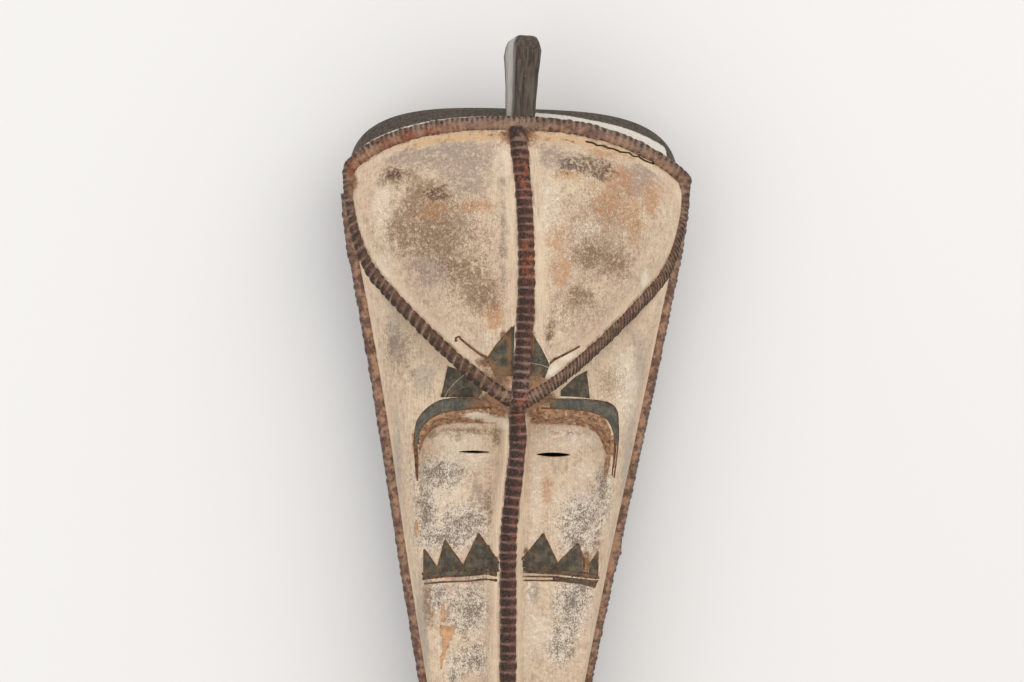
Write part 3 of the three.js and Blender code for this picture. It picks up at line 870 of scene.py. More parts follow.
def ledgeShare(x, y):
    reach = abs(x - noseCentre(y))
    s = min(1, reach / halfWidth(y))
    above = y - ledgeY(s) + shape["ledgeHeight"]
    beyond = (s - shoulder(y)) * halfWidth(y)
    over = smooth(above, -1, 0.5) * smooth(ledgePaint["height"] - above, 0, 2)
    over *= smooth(ledgePaint["overhang"] - beyond, 0, 2) * smooth(reach, *ledgePaint["noseGap"])
    beside = smooth(beyond, -2.5, -1) * smooth(ledgePaint["sideWidth"] - beyond, 0, 1)
    beside *= smooth(-above, -3, 4) * smooth(y, *ledgePaint["sideEnd"])
    return max(over, ledgePaint["side"] * beside)


# lines cut into the face: width and points, straight from point to point
carvedLines = {
    "line": [
        (1.3, [(-50, 64.3), (-49.9, 66.8), (-47.4, 67.8), (-46.4, 65.9)]),
        (1.3, [(-46.4, 65.9), (-40.6, 61.1), (-32, 54.5), (-25.7, 51.2), (-20, 60.5), (-13.6, 68.4),
            (-7, 76)]),
        (1.4, [(23.4, 47.7), (27.2, 51.1), (37.4, 56.1), (47.7, 61.6)]),
        (1.0, [(-25.6, 48.3), (-18.6, 49.4), (-6, 50.6)]),
        (1.6, [(-70.2, -119), (-70.2, -100.3), (-59.5, -114.9), (-54, -93.1), (-39.3, -112.8),
            (-27.4, -87.4), (-12, -109.2)]),
        (1.5, [(-71.6, -119.7), (-55.5, -116.8), (-35.8, -115.7), (-11.5, -115.1)]),
        (1.5, [(-71.1, -123.6), (-55.4, -121.8), (-35.7, -120.7), (-13.3, -118.6)]),
        (1.5, [(-69.6, -127.3), (-55.3, -125.9), (-35.6, -125.1), (-13.3, -122.5)]),
        (1.6, [(7.2, -107.9), (23.8, -87), (35.7, -110.7), (51.4, -94.7), (56.6, -106.6), (56.8, -115.6)]),
        (1.4, [(60.7, -111.6), (68.1, -101.2), (68.6, -120.1)]),
        (1.5, [(8.2, -113.5), (23.8, -113.3), (43.8, -115.7), (68.5, -119.6)]),
        (1.5, [(8.2, -117.6), (23.9, -118.3), (43.8, -119.6), (70, -122.5)]),
        (1.4, [(8.3, -121.1), (33.9, -121.2), (68.8, -124.8)]),
        (1.5, [(8.9, -124.2), (34, -124.2), (54, -126.1), (66.5, -129.4)]),
        (1.3, [(-53.9, 44.5), (-55.3, 37.6), (-57.1, 27.7), (-59, 20.5)]),
    ],
    "curve": [
        (1.2, [(-77, -46), (-78.6, -34), (-79.8, -17.1), (-79.6, -7.2), (-77.4, 2.8), (-69.7, 11.8),
            (-59, 18.4), (-43.3, 19.9), (-28.7, 18.9)]),
        (0.9, [(-77.4, -36), (-78.3, -17), (-78.2, -7), (-74.2, 2), (-66.1, 9.4)]),
        (0.9, [(-77.2, -17), (-77.0, -7), (-72.0, 1.5), (-63.2, 7.4), (-48, 10.8)]),
        (1.1, [(-76.5, -17), (-76.2, -7), (-70.5, 1), (-61.8, 7), (-48.1, 10.2), (-35.3, 11.4),
            (-20, 12.6)]),
        (1.1, [(20, 12.6), (34, 12.3), (56.1, 11.6), (71.2, 6.9), (78, -1), (80.1, -16)]),
        (1.1, [(28, 20), (61.1, 20.2), (80.3, 16.5), (82.5, 0), (82.9, -16.1), (80.5, -42)]),
        (0.9, [(72, 8), (79.2, -1), (81.2, -16), (79.4, -34)]),
        (0.9, [(56, 12), (71, 7), (77.8, -2), (80, -16), (78.4, -40)]),
    ],
    "paleLine": [
        (1.2, [(-41.7, 37.9), (-48.4, 31.8), (-54.1, 24.8), (-57, 18.9)]),
        (1.0, [(-34.8, 30.2), (-44.4, 27), (-51.2, 22.9), (-55, 17.9)]),
        (0.8, [(-21.2, 46.3), (-7, 46.5)]),
        (0.8, [(-20.6, 44), (-7, 44)]),
        (0.8, [(-19.1, 40.2), (-7, 39.9)]),
        (1.4, [(8, 73), (15.8, 60.7), (23.4, 47.7)]),
        (1.2, [(8.5, 48.5), (16.4, 47.1), (24.1, 44.5)]),
        (0.8, [(8, 44.6), (22.7, 41.8)]),
        (0.8, [(8, 41.2), (20.9, 39.4)]),
        (0.8, [(8, 39.2), (20, 36.9)]),
        (1.3, [(56.4, 40.3), (58.6, 31.4), (59.1, 20.6)]),
        (1.2, [(39.8, 21.8), (51, 21.5), (60.1, 20.6)]),
        (0.9, [(48.8, 32.3), (59, 24.5)]),
        (0.9, [(47.3, 30.3), (58, 22.5)]),
        (0.9, [(44.8, 28.3), (56, 21.2)]),
    ],
    "hollow": [
        (0.9, [(51.6, 224.4), (58, 223.4), (61, 221.6), (66, 221.8), (70, 220), (74.7, 219.6), (80, 217.4),
            (88.1, 217), (91, 214.6), (96.2, 214.4), (101, 211.6), (108.7, 209.4)]),
    ],
}
# darkened fields: upper edge and lower edge, point over point
darkFields = {
    "fill": [
        ([(-25.5, 51.2), (-20, 60.5), (-13.6, 68.4), (-5.2, 77.5)],
         [(-19.4, 38.4), (-15, 38.2), (-11, 38), (-5.2, 38)]),
        ([(7.6, 73.5), (15.8, 60.7), (23.4, 47.7)], [(7.6, 38.6), (13, 38), (20, 36.6)]),
        ([(-53.9, 44.5), (-45, 42), (-36, 35), (-26, 27)],
         [(-59, 19.9), (-50, 20.2), (-40, 20.3), (-30, 20)]),
        ([(35, 27), (47, 38), (56.4, 43)], [(35, 22.4), (50, 21.7), (59, 20.8)]),
        ([(-70.2, -100.3), (-59.5, -114.9), (-54, -93.1), (-39.3, -112.8), (-27.4, -87.4), (-12, -109.2)],
         [(-70.2, -119.5), (-59.5, -117.5), (-54, -116.7), (-39.3, -115.9), (-27.4, -115.4),
          (-12, -115.1)]),
        ([(-71, -120.2), (-55.5, -117.4), (-35.8, -116.4), (-13, -115.8)],
         [(-71, -123.0), (-55.4, -121.2), (-35.7, -120.1), (-13.3, -118)]),
        ([(7.6, -108.4), (23.8, -87), (35.7, -110.7), (51.4, -94.7), (56.4, -106.6)],
         [(7.6, -113.3), (23.8, -113.2), (35.7, -114.6), (51.4, -116.6), (56.4, -117.4)]),
        ([(60.7, -111.6), (68.1, -101.2)], [(60.7, -118), (68.3, -119.2)]),
        ([(8.2, -114.1), (23.8, -113.9), (43.8, -116.3), (68.8, -120.1)],
         [(8.2, -117), (23.9, -117.6), (43.8, -119), (69.5, -122)]),
        ([(32, -121.6), (50, -123), (68.6, -125.2)], [(32, -123.8), (50, -125.4), (66.8, -129)]),
    ],
    "arc": [
        ([(-79.8, -17.1), (-79.6, -7.2), (-77.4, 2.8), (-69.7, 11.8), (-59, 18.4), (-43.3, 19.6),
          (-28.7, 18.9)],
         [(-76.5, -16.9), (-76.2, -7), (-70.5, 1), (-61.8, 7), (-48.1, 10.2), (-35.3, 11.4),
          (-24.6, 13.6)]),
        ([(25.6, 19.3), (33.8, 20.3), (61.1, 19.6), (80.3, 15.9), (81.9, 0), (82.5, -16.1)],
         [(27, 13), (34, 12.3), (56.1, 11.6), (71.2, 6.9), (78, -1), (80.1, -16)]),
    ],
    "bare": [
        ([(-54.2, -141), (-53.2, -143), (-53.4, -147), (-52.4, -149), (-53, -153), (-52, -155),
          (-53.4, -158)],
         [(-54.6, -141), (-55.4, -144), (-55.2, -147), (-56.4, -150), (-55.4, -153), (-56, -156),
          (-54.2, -158)]),
        ([(-51, -161), (-48.4, -161.6), (-46, -160.6), (-44.6, -163), (-46, -165), (-44.8, -167),
          (-47.4, -168), (-47, -172), (-49.4, -173), (-49, -177), (-51.6, -180), (-52, -185), (-54, -188),
          (-54.6, -195)],
         [(-56.6, -160), (-57, -162), (-55.6, -163.4), (-57.2, -165), (-55.8, -166.6), (-56.6, -168),
          (-54.4, -170), (-55, -173), (-53.4, -175), (-54.6, -178), (-54, -181), (-56, -185),
          (-55.6, -190), (-55.6, -195)]),
        ([(-76, -77), (-75.2, -84), (-76, -91)], [(-77, -77), (-78, -83), (-77, -91)]),
    ],
}
cuts = {
    "lineDepth": 0.9, "depthWidth": 1.5, "lap": 0.25, "fieldDepth": 0.6, "step": 2.5, "fieldStep": 1.6,
    "fieldRows": 4, "clear": 1.2, "fieldClear": 3,
}


def evenly(points, step):
    # the same path with more points, its corners kept
    fine = [points[0]]
    for a, b in zip(points, points[1:]):
        count = max(1, round((b - a).length / step))
        fine += [a.lerp(b, k / count) for k in range(1, count + 1)]
    return fine


def eased(points):
    # corners cut twice, the ends kept
    for _ in range(2):
        halves = [points[0]]
        for a, b in zip(points, points[1:]):
            halves += [a.lerp(b, 0.25), a.lerp(b, 0.75)]
        points = [*halves, points[-1]]
    return points


def ground(front, x, y):
    hit = front.ray_cast(place(x, y, 300), Vector((0, 0, -1)))[0]
    return hit.z * 1000 if hit else 0


def makeGroove(front, start, end, width):
    # a v-shaped cut from one point to the other, that follows the surface
    depth, clear = cuts["lineDepth"] * width / cuts["depthWidth"], cuts["clear"]
    along = (end - start).normalized()
    sideways = Vector((-along.y, along.x))
    points = evenly([start - along * cuts["lap"], end + along * cuts["lap"]], cuts["step"])
    rows = len(points) - 1
    bm = bmesh.new()
    bmesh.ops.create_grid(bm, x_segments=rows, y_segments=3, size=1)
    for v in bm.verts:
        i, corner = round((v.co.x + 1) / 2 * rows), round((v.co.y + 1) / 2 * 3) % 3
        across, rise = ((0, -depth), (-1, clear), (1, clear))[corner]
        flat = points[i] + sideways * (across * width / 2 * (1 + clear / depth))
        v.co = place(flat.x, flat.y, ground(front, points[i].x, points[i].y) + rise)
    return closed(bm)


def makeField(front, upper, lower):
    # a shallow cut between two edges, its floor along the surface
    stops = [0.0]
    for a, b, c, d in zip(upper, upper[1:], lower, lower[1:]):
        longer = max((b - a).length, (d - c).length)
        stops.append(stops[-1] + max(1, round(longer / cuts["fieldStep"])))
    columns, rows = round(stops[-1]), cuts["fieldRows"]
    bm = bmesh.new()
    bmesh.ops.create_grid(bm, x_segments=columns, y_segments=rows, size=1)
    for v in bm.verts:
        along, share = (v.co.x + 1) / 2 * columns, (v.co.y + 1) / 2
        k = max(i for i in range(len(upper) - 1) if stops[i] <= along + 1e-6)
        part = (along - stops[k]) / (stops[k + 1] - stops[k])
        flat = lower[k].lerp(lower[k + 1], part).lerp(upper[k].lerp(upper[k + 1], part), share)
        v.co = place(flat.x, flat.y, ground(front, flat.x, flat.y) - cuts["fieldDepth"])
    top = bmesh.ops.extrude_face_region(bm, geom=bm.faces[:])["geom"]
    for v in vertsIn(top):
        v.co.z += cuts["fieldClear"] * 0.001
    bmesh.ops.recalc_face_normals(bm, faces=bm.faces)
    return bm


# node trees: a short way to add nodes, and the groups that several finishes share
class Graph:
    def __init__(self, tree):
        self.tree = tree

    def add(self, kind, inputs, **settings):
        made = self.tree.nodes.new("ShaderNode" + kind)
        for key, value in settings.items():
            setattr(made, key, value)
        for socket, value in inputs.items():
            if isinstance(value, bpy.types.NodeSocket):
                self.tree.links.new(value, made.inputs[socket])
            else:
                made.inputs[socket].default_value = value
        return made

    def math(self, operation, *values):
        return self.add("Math", dict(enumerate(values)), operation=operation).outputs[0]

    def noise(self, vector, scale, detail=3, roughness=0.55, distortion=0.0):
        inputs = {"Vector": vector, "Scale": scale, "Detail": detail, "Roughness": roughness}
        return self.add("TexNoise", {**inputs, "Distortion": distortion}).outputs["Fac"]

    def mix(self, factor, first, second):
        return self.add("Mix", {0: factor, 6: first, 7: second}, data_type="RGBA").outputs[2]

    def times(self, first, *others):
        for other in others:
            first = self.math("MULTIPLY", first, other)
        return first

    def over(self, base, paint, *shares):
        # paint over the base, as strong as its shares multiplied
        return self.mix(self.times(*shares), base, paint)

    def ease(self, value, low, high, start=0.0, end=1.0):
        inputs = {"Value": value, "From Min": low, "From Max": high, "To Min": start, "To Max": end}
        return self.add("MapRange", inputs, interpolation_type="SMOOTHSTEP").outputs["Result"]

    def stretch(self, vector, across, along, deep):
        return self.add("VectorMath", {0: vector, 1: (across, along, deep)}, operation="MULTIPLY").outputs[0]

    def field(self, name):
        return self.add("Attribute", {}, attribute_name=name).outputs["Fac"]

    def group(self, group, **inputs):
        made = self.tree.nodes.new("ShaderNodeGroup")
        made.node_tree = group
        for socket, value in inputs.items():
            if isinstance(value, bpy.types.NodeSocket):
                self.tree.links.new(value, made.inputs[socket])
            else:
                made.inputs[socket].default_value = value
        return made.outputs[0]


def colour(red, green, blue):
    # from the 0 to 255 of a colour picker
    return tuple((v / 255) ** 2.2 for v in (red, green, blue)) + (1,)


def newGroup(name, inputs, output):
    group = bpy.data.node_groups.new(name, "ShaderNodeTree")
    for socket, kind in inputs.items():
        group.interface.new_socket(socket, in_out="INPUT", socket_type="NodeSocket" + kind)
    group.interface.new_socket(output, in_out="OUTPUT", socket_type="NodeSocketFloat")
    graph = Graph(group)
    nodes = group.nodes
    return group, graph, nodes.new("NodeGroupInput").outputs, nodes.new("NodeGroupOutput")


def makeBrokenPatch():
    # a soft field turned into a patch that breaks up into grains at its edge
    inputs = {"Position": "Vector", "Field": "Float", "Size": "Float", "Ragged": "Float", "Grain": "Float"}
    group, graph, given, end = newGroup("brokenPatch", inputs, "Mask")
    broad = graph.math("SUBTRACT", graph.noise(given["Position"], given["Size"], 8, 0.72), 0.5)
    grain = graph.math("SUBTRACT", graph.noise(given["Position"], 0.75, 3, 0.65), 0.5)
    level = graph.math("MULTIPLY_ADD", broad, given["Ragged"], given["Field"])
    level = graph.math("MULTIPLY_ADD", grain, given["Grain"], level)
    group.links.new(graph.ease(level, 0.22, 0.78), end.inputs[0])
    return group


def makeBrushMarks():
    # fine streaks that run down the face
    group, graph, given, end = newGroup("brushMarks", {"Position": "Vector", "Size": "Float"}, "Value")
    drawn = graph.stretch(given["Position"], 1, 0.06, 0.3)
    group.links.new(graph.noise(drawn, given["Size"], 4, 0.6, 0.3), end.inputs[0])
    return group


def makeSpeckle():
    # small dark dots and worms where the white has come off the grain
    inputs = {"Position": "Vector", "Field": "Float", "Size": "Float"}
    group, graph, given, end = newGroup("speckle", inputs, "Mask")
    dots = graph.noise(graph.stretch(given["Position"], 1, 0.6, 1), given["Size"], 3, 0.6, 0.6)
    clusters = graph.math("SUBTRACT", graph.noise(given["Position"], 0.16, 5, 0.7), 0.5)
    level = graph.math("MULTIPLY_ADD", clusters, 0.6, graph.math("MULTIPLY", given["Field"], 0.3))
    group.links.new(graph.ease(graph.math("ADD", dots, level), 0.66, 0.84), end.inputs[0])
    return group


brokenPatch, brushMarks, speckle = makeBrokenPatch(), makeBrushMarks(), makeSpeckle()
print("node groups")


specular = 0.3


def startFinish(name):
    material = bpy.data.materials.new(name)
    material.use_nodes = True
    graph = Graph(material.node_tree)
    position = graph.add("TexCoord", {}).outputs["Object"]
    millimetres = graph.add("VectorMath", {0: position, "Scale": 1000}, operation="SCALE").outputs[0]
    return material, graph, millimetres


def endFinish(material, graph, base, roughness, height, distance=0.0004, strength=0.8):
    surface = material.node_tree.nodes["Principled BSDF"]
    links = material.node_tree.links
    bump = graph.add("Bump", {"Height": height, "Strength": strength, "Distance": distance})
    links.new(base, surface.inputs["Base Color"])
    links.new(roughness, surface.inputs["Roughness"])
    links.new(bump.outputs["Normal"], surface.inputs["Normal"])
    surface.inputs["Specular IOR Level"].default_value = specular
    return material


# white clay over wood, stained, brushed and worn
clay = {
    "cream": colour(220, 197, 167), "pinkCream": colour(213, 185, 159), "greyCream": colour(176, 160, 140),
    "chalk": colour(234, 219, 198), "mauve": colour(148, 130, 122), "brown": colour(118, 88, 62),
    "deep": colour(80, 54, 46), "rust": colour(182, 128, 86), "fleck": colour(112, 86, 66),
    "dark": colour(82, 63, 50), "crust": colour(206, 168, 124), "dirtAndShade": colour(98, 72, 52),
    "ledge": colour(172, 126, 88), "vein": colour(138, 106, 80), "ledgeDark": colour(100, 64, 46),
    "cool": colour(158, 152, 144), "smear": colour(146, 104, 70),
}
stains = [   # field, size and raggedness of its patches, grain, share
    ("mauve", 0.10, 1.8, 0.9, 0.78), ("brown", 0.12, 2.4, 1.3, 0.8), ("rust", 0.11, 2.2, 1.1, 0.75),
    ("deep", 0.2, 2.0, 0.8, 0.85),
]


def makeClay():
    material, graph, spot = startFinish("kaolinClay")
    field = graph.field

    def patch(source, size, ragged, grain):
        return graph.group(brokenPatch, Position=spot, Field=source, Size=size, Ragged=ragged, Grain=grain)
    broad = graph.noise(spot, 0.035, 5, 0.6)
    mottle = graph.noise(spot, 0.16, 6, 0.7)
    flakes = graph.ease(graph.noise(spot, 0.3, 8, 0.82), 0.48, 0.55)
    veins = graph.ease(graph.noise(spot, 0.2, 8, 0.78, 0.8), 0.47, 0.6)
    fine = graph.noise(spot, 1.1, 4, 0.7)
    brush = graph.group(brushMarks, Position=spot, Size=0.9)
    moat = field("moat")
    inside = graph.ease(moat, 3, 14)
    # the coat, brushed down the face
    base = graph.mix(graph.ease(broad, 0.38, 0.62), clay["cream"], clay["pinkCream"])
    streaks = graph.ease(graph.noise(spot, 0.05, 3), 0.4, 0.6, 0.3, 1.0)
    base = graph.over(base, clay["greyCream"], graph.ease(brush, 0.45, 0.68, 0, 0.65), streaks)
    base = graph.over(base, clay["chalk"], graph.ease(brush, 0.45, 0.3, 0, 0.5))
    base = graph.over(base, clay["cool"], patch(field("cool"), 0.08, 2.2, 0.9), 0.5)
    base = graph.over(base, clay["vein"], inside, 0.34, veins)
    # stains, and the pale places among them; the brown under the ledges is painted shade and the pale strip
    # beside the nose a painted highlight
    shown = graph.math("MULTIPLY_ADD", flakes, -0.72, 1.0)
    for name, size, ragged, grain, share in stains:
        stain = patch(graph.times(field(name), inside), size, ragged, grain)
        base = graph.over(base, clay[name], stain, share, shown)
    lifted = graph.math("MULTIPLY_ADD", flakes, 0.7, 0.3)
    base = graph.over(base, clay["chalk"], patch(field("pale"), 0.14, 1.6, 1.2), 0.8, lifted)
    # dark dots where the white has come off
    flecked = graph.times(field("flecks"), inside)
    pepper = graph.group(speckle, Position=spot, Field=flecked, Size=1.1)
    base = graph.over(base, clay["fleck"], pepper, 0.5)
    worn = graph.times(field("speckle"), inside)
    base = graph.over(base, clay["mauve"], patch(worn, 0.09, 2.4, 0.5), 0.5)
    base = graph.over(base, clay["chalk"], patch(worn, 0.35, 2.6, 1.2), 0.85)
    dots = graph.group(speckle, Position=spot, Field=worn, Size=1.25)
    dots = graph.times(dots, graph.ease(worn, 0.05, 0.3))
    base = graph.over(base, clay["dark"], dots, 0.78)
    # crust under the rim, smears, ledges and fresh white
    crust = graph.mix(graph.ease(mottle, 0.5, 0.66), clay["crust"], clay["dirtAndShade"])
    base = graph.over(base, crust, patch(field("under"), 0.25, 1.4, 0.5), 0.8)
    smear = graph.mix(graph.ease(mottle, 0.4, 0.62), clay["smear"], clay["dirtAndShade"])
    base = graph.over(base, smear, patch(field("smear"), 0.2, 1.0, 0.8), 0.92)
    edge = graph.ease(graph.noise(spot, 0.22, 6, 0.75), 0.42, 0.6)
    edge = graph.mix(edge, clay["ledge"], clay["ledgeDark"])
    edge = graph.over(edge, clay["chalk"], graph.ease(mottle, 0.56, 0.66, 0, 0.6))
    base = graph.over(base, edge, patch(field("ledge"), 0.25, 0.9, 0.8), 0.9)
    base = graph.over(base, clay["chalk"], patch(field("white"), 0.2, 1.0, 0.8), 0.85)
    # painted shade and dirt along the foot of the ridges, in patches
    foot = graph.ease(graph.noise(spot, 0.12, 5, 0.7), 0.35, 0.7)
    base = graph.over(base, clay["dirtAndShade"], graph.ease(moat, 3.0, 0.0), foot, 0.8)
    base = graph.over(base, clay["fleck"], graph.ease(fine, 0.5, 0.75, 0, 0.4))
    base = graph.over(base, clay["chalk"], graph.ease(fine, 0.45, 0.3, 0, 0.4))
    height = graph.math("ADD", graph.times(brush, 0.5), graph.times(fine, 0.6))
    height = graph.math("SUBTRACT", height, graph.times(dots, 0.6))
    height = graph.math("MULTIPLY_ADD", graph.times(flakes, inside), 0.4, height)
    return endFinish(material, graph, base, graph.ease(fine, 0.3, 0.7, 0.75, 0.95), height)


# dark carved ridges, worn red on top, with pale dust in their notches and painted shade low on their flanks
# and on one side
ridgePaint = {
    "deep": colour(42, 25, 21), "crown": colour(102, 68, 56), "purple": colour(100, 74, 68),
    "red": colour(126, 70, 48), "rust": colour(166, 98, 62), "dust": colour(172, 144, 118),
    "grey": colour(144, 118, 102), "tan": colour(178, 132, 98), "brown": colour(92, 66, 46),
    "maroon": colour(112, 66, 58),
    "ember": colour(150, 76, 48), "side": colour(124, 98, 90), "line": colour(148, 116, 104),
}


def makeRidgePaint():
    material, graph, spot = startFinish("ridgePaint")
    fields = ("bead", "tone", "glow", "dust", "inner", "crown")
    bead, tone, glow, dusty, inner, top = (graph.field(name) for name in fields)
    rough = graph.noise(spot, 0.3, 6, 0.7)
    fine = graph.noise(spot, 1.2, 4, 0.65)
    broad = graph.noise(spot, 0.05, 4, 0.6)
    patchy = graph.noise(spot, 0.13, 6, 0.72)
    middle = graph.ease(dusty, 0.3, 0)   # 1 on the forehead and nose ridges
    # the top of each bead
    crown = graph.mix(graph.ease(tone, 0.2, 0.9), ridgePaint["crown"], ridgePaint["purple"])
    crown = graph.over(crown, ridgePaint["brown"], graph.ease(broad, 0.45, 0.62))
    crown = graph.over(crown, ridgePaint["maroon"], middle, 0.65)
    lower = graph.times(graph.ease(inner, -0.1, 0.5), glow)
    redness = graph.math("MULTIPLY_ADD", rough, 0.5, graph.times(broad, 0.5))
    redness = graph.math("MULTIPLY_ADD", glow, 0.16, graph.math("MULTIPLY_ADD", lower, 0.28, redness))
    crown = graph.over(crown, ridgePaint["red"], graph.ease(redness, 0.54, 0.8, 0, 0.85))
    crown = graph.over(crown, ridgePaint["grey"], graph.field("grey"), graph.ease(rough, 0.3, 0.6, 0.3, 0.9))
    high = graph.math("MULTIPLY_ADD", glow, 0.1, graph.math("MULTIPLY_ADD", tone, 0.08, rough))
    worn = graph.times(graph.ease(high, 0.62, 0.76), graph.ease(bead, 0.5, 1.0))
    crown = graph.over(crown, ridgePaint["rust"], worn, 0.7)
    crown = graph.over(crown, ridgePaint["grey"], graph.ease(patchy, 0.4, 0.66), dusty)
    # painted shade: darker low on the flanks and on one side, lighter towards the top, with a random tone and
    # the dustier ridges lighter
    paintedShadeAndTone = graph.math("MULTIPLY_ADD", top, 0.5, graph.ease(bead, 1.0, 0.5, -0.08, 0.3))
    paintedShadeAndTone = graph.math("MULTIPLY_ADD", graph.math("SUBTRACT", rough, 0.5), 1.9, paintedShadeAndTone)
    paintedShadeAndTone = graph.math("ADD", paintedShadeAndTone, graph.ease(dusty, 0, 1, -0.24, 0.2))
    paintedShadeAndTone = graph.math("ADD", paintedShadeAndTone, graph.ease(inner, -0.7, 0.8, -0.28, 0.2))
    base = graph.mix(graph.ease(paintedShadeAndTone, 0.1, 0.85), ridgePaint["deep"], crown)
    # an orange core and dusty flanks on the middle ridges
    core = graph.times(graph.ease(top, 0.72, 0.95), graph.ease(rough, 0.4, 0.6))
    base = graph.over(base, ridgePaint["ember"], core, graph.times(middle, glow), 0.85)
    flank = graph.times(graph.ease(top, 0.8, 0.4), graph.ease(patchy, 0.36, 0.6))
    base = graph.over(base, ridgePaint["side"], flank, graph.times(middle, 0.7))
    side = graph.times(graph.ease(dusty, 0.7, 0.9), graph.ease(inner, -0.3, 0.5))
    base = graph.over(base, ridgePaint["tan"], side, graph.ease(patchy, 0.44, 0.6), 0.75)
    # dust in the notches
    lines = graph.times(graph.ease(bead, 0.66, 0.25), graph.ease(patchy, 0.4, 0.6, 0.2, 1.0))
    line = graph.mix(middle, ridgePaint["dust"], ridgePaint["line"])
    base = graph.over(base, line, lines, graph.ease(dusty, 0.6, 1.0, 0.75, 0.12))
    base = graph.over(base, ridgePaint["dust"], graph.ease(fine, 0.5, 0.75, 0, 0.45))
    base = graph.over(base, ridgePaint["deep"], graph.ease(fine, 0.48, 0.25, 0, 0.6))
    height = graph.math("MULTIPLY_ADD", fine, 0.4, rough)
    return endFinish(material, graph, base, graph.ease(rough, 0.3, 0.7, 0.34, 0.6), height, 0.0007)


# dark wood of the crest, the sides and the band behind the top rim
wood = {
    "dark": colour(52, 42, 35), "light": colour(92, 84, 74), "dust": colour(186, 181, 174),
    "white": colour(214, 208, 196), "worn": colour(150, 92, 50),
}


def makeWood():
    material, graph, spot = startFinish("darkWood")
    grain = graph.noise(graph.stretch(spot, 1, 0.05, 1), 0.5, 6, 0.65, 0.4)
    fine = graph.noise(spot, 0.9, 4, 0.6)
    base = graph.mix(graph.ease(grain, 0.35, 0.65), wood["dark"], wood["light"])
    # whitened where the dust layer is set, on the crest's left face: a painted sheen
    base = graph.over(base, wood["dust"], graph.field("dust"), graph.ease(grain, 0.25, 0.5), 0.92)
    worn = graph.ease(graph.noise(spot, 0.2, 5, 0.7), 0.62, 0.72)
    base = graph.over(base, wood["worn"], worn, 0.6)
    level = graph.math("MULTIPLY_ADD", fine, 3, graph.field("stripe"))
    base = graph.over(base, wood["white"], graph.ease(level, 1.2, 2), graph.ease(fine, 0.2, 0.45))
    height = graph.math("MULTIPLY_ADD", fine, 0.4, grain)
    return endFinish(material, graph, base, graph.ease(grain, 0.3, 0.7, 0.5, 0.75), height, 0.0005)


# the smaller finishes: two tones, how they are spread, and flecks of another where flecked is over 0
simple = {
    "hollow": {"name": "rawHollow", "tones": ((38, 29, 22), (92, 70, 50)), "size": 0.08,
               "spread": (0.35, 0.7), "roughness": 0.8},
    "fill": {"name": "smokedField", "tones": ((58, 57, 50), (104, 96, 82)), "size": 0.14,
             "spread": (0.36, 0.7), "roughness": 0.7, "flecked": 0.5, "fleck": clay["smear"]},
    "line": {"name": "cutLine", "tones": ((60, 42, 32), (134, 94, 64)), "size": 0.3,
             "spread": (0.35, 0.62), "roughness": 0.75},
    "arc": {"name": "greyArc", "tones": ((64, 67, 65), (106, 98, 84)), "size": 0.16,
            "spread": (0.36, 0.7), "roughness": 0.7, "flecked": 0.3, "fleck": clay["greyCream"]},
    "paleLine": {"name": "paleLine", "tones": ((184, 158, 126), (230, 212, 186)), "size": 0.3,
                 "spread": (0.35, 0.6), "roughness": 0.8},
    "bare": {"name": "bareWood", "tones": ((168, 122, 88), (206, 162, 124)), "size": 0.2,
             "spread": (0.35, 0.62), "roughness": 0.7, "flecked": 0.4, "fleck": clay["fleck"]},
}


def makeSimple(given):
    material, graph, spot = startFinish(given["name"])
    rough = graph.noise(spot, given["size"], 6, 0.7)
    fine = graph.noise(spot, 1.3, 4, 0.65)
    brush = graph.group(brushMarks, Position=spot, Size=1.0)
    first, second = (colour(*tone) for tone in given["tones"])
    base = graph.mix(graph.ease(rough, *given["spread"]), first, second)
    rubbed = graph.math("MULTIPLY_ADD", brush, 0.5, graph.times(fine, 0.5))
    if "flecked" in given:
        base = graph.over(base, given["fleck"], graph.ease(rubbed, 0.5, 0.68, 0, given["flecked"]))
        smear = graph.field("smear")
        smear = graph.group(brokenPatch, Position=spot, Field=smear, Size=0.2, Ragged=2.2, Grain=1.3)
        base = graph.over(base, clay["smear"], smear, 0.6)
    roughness = graph.ease(rough, 0.3, 0.7, given["roughness"], given["roughness"] + 0.15)
    return endFinish(material, graph, base, roughness, graph.math("ADD", rough, rubbed))


finishes = {"clay": makeClay(), "ridge": makeRidgePaint(), "wood": makeWood()}
finishes.update((key, makeSimple(given)) for key, given in simple.items())
slots = {name: k for k, name in enumerate(finishes)}
print("finishes", len(finishes))


def solidFrom(bm, name, slot=None):
    if slot is not None:
        for face in bm.faces:
            face.material_index = slots[slot]
    for face in bm.faces:
        face.smooth = True
    made = finishObject(bm, name)
    for finish in finishes.values():
        made.data.materials.append(finish)
    return made


def carve(target, tool, operation):
    change = target.modifiers.new(tool.name, "BOOLEAN")
    change.solver = "MANIFOLD"
    change.operation = operation
    change.object = tool


def applied(target, tools):
    mesh = bpy.data.meshes.new_from_object(target.evaluated_get(bpy.context.evaluated_depsgraph_get()))
    target.modifiers.clear()
    target.data = mesh
    for tool in tools:
        bpy.data.objects.remove(tool)


def carveAll(target, steps):
    for tool, operation in steps:
        carve(target, tool, operation)
    applied(target, [tool for tool, _ in steps])


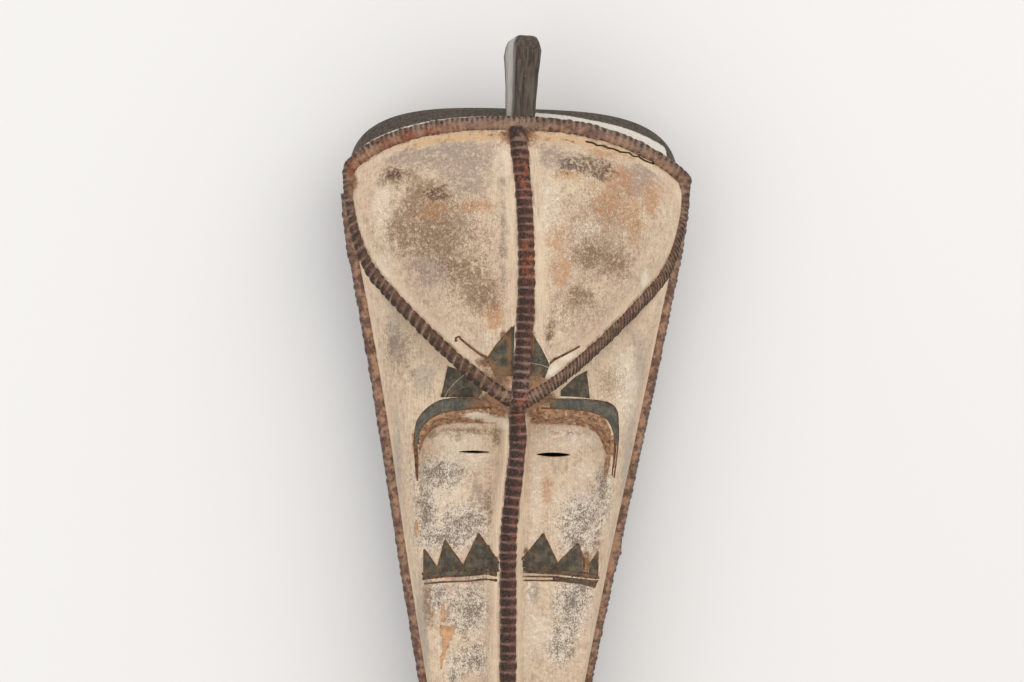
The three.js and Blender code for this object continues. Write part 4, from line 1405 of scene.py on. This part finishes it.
bodyMesh = makeBody()
front = BVHTree.FromBMesh(bodyMesh)
mask = solidFrom(bodyMesh, "carvedMask")
steps = [(solidFrom(bm, name + "Ridge", "ridge"), "UNION") for name, bm in makeRidges().items()]
steps.append((solidFrom(makeCrest(), "crest", "wood"), "UNION"))
tipY, lipsY = nose["tipY"], features["lipsY"]
tip = (noseCentre(tipY), tipY + features["nostril"][1] / 2, barrelZ(0, tipY) + features["nostril"][2] / 2)
for side in (-1, 1):
    ball = makeBall(features["nostril"], tip[0] + side * features["nostrilsApart"], tip[1], tip[2])
    steps.append((solidFrom(ball, f"nostril{side}", "clay"), "UNION"))
lips = makeBall(features["lips"], noseCentre(lipsY), lipsY, faceZ(0, lipsY))
steps.append((solidFrom(lips, "lips", "clay"), "UNION"))
steps.append((solidFrom(makeHollow(), "hollow", "hollow"), "DIFFERENCE"))
for x, y, width, height in features["eyes"]:
    steps.append((solidFrom(makeSlit(x, y, width, height, *features["eyeCut"]), "eye", "line"), "DIFFERENCE"))
wide, tall, deep = features["mouth"]
mouthZ = faceZ(0, lipsY) + features["lips"][2]
slit = makeSlit(noseCentre(lipsY), lipsY, wide, tall, mouthZ - deep, mouthZ + deep)
steps.append((solidFrom(slit, "mouth", "hollow"), "DIFFERENCE"))
carveAll(mask, steps)
print("carving", len(mask.data.polygons), "faces")

for slot, fields in darkFields.items():
    pieces = []
    for edges in fields:
        upper, lower = ([Vector(p) for p in edge] for edge in edges)
        if slot == "arc":
            upper, lower = eased(upper), eased(lower)
        pieces.append(solidFrom(makeField(front, upper, lower), slot, slot))
    carveAll(pieces[0], [(piece, "UNION") for piece in pieces[1:]])
    carveAll(mask, [(pieces[0], "DIFFERENCE")])
for slot, lines in carvedLines.items():
    pieces = []
    finish = "line" if slot == "curve" else slot
    for width, points in lines:
        points = [Vector(p) for p in points]
        if slot == "curve":
            points = eased(points)
        for a, b in zip(points, points[1:]):
            pieces.append(solidFrom(makeGroove(front, a, b, width), slot, finish))
    carveAll(pieces[0], [(piece, "UNION") for piece in pieces[1:]])
    carveAll(mask, [(pieces[0], "DIFFERENCE")])
paintFields(mask.data)
mask.data.calc_loop_triangles()
print("lines", len(mask.data.loop_triangles), "triangles")

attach(mask, "root")
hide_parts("mask")
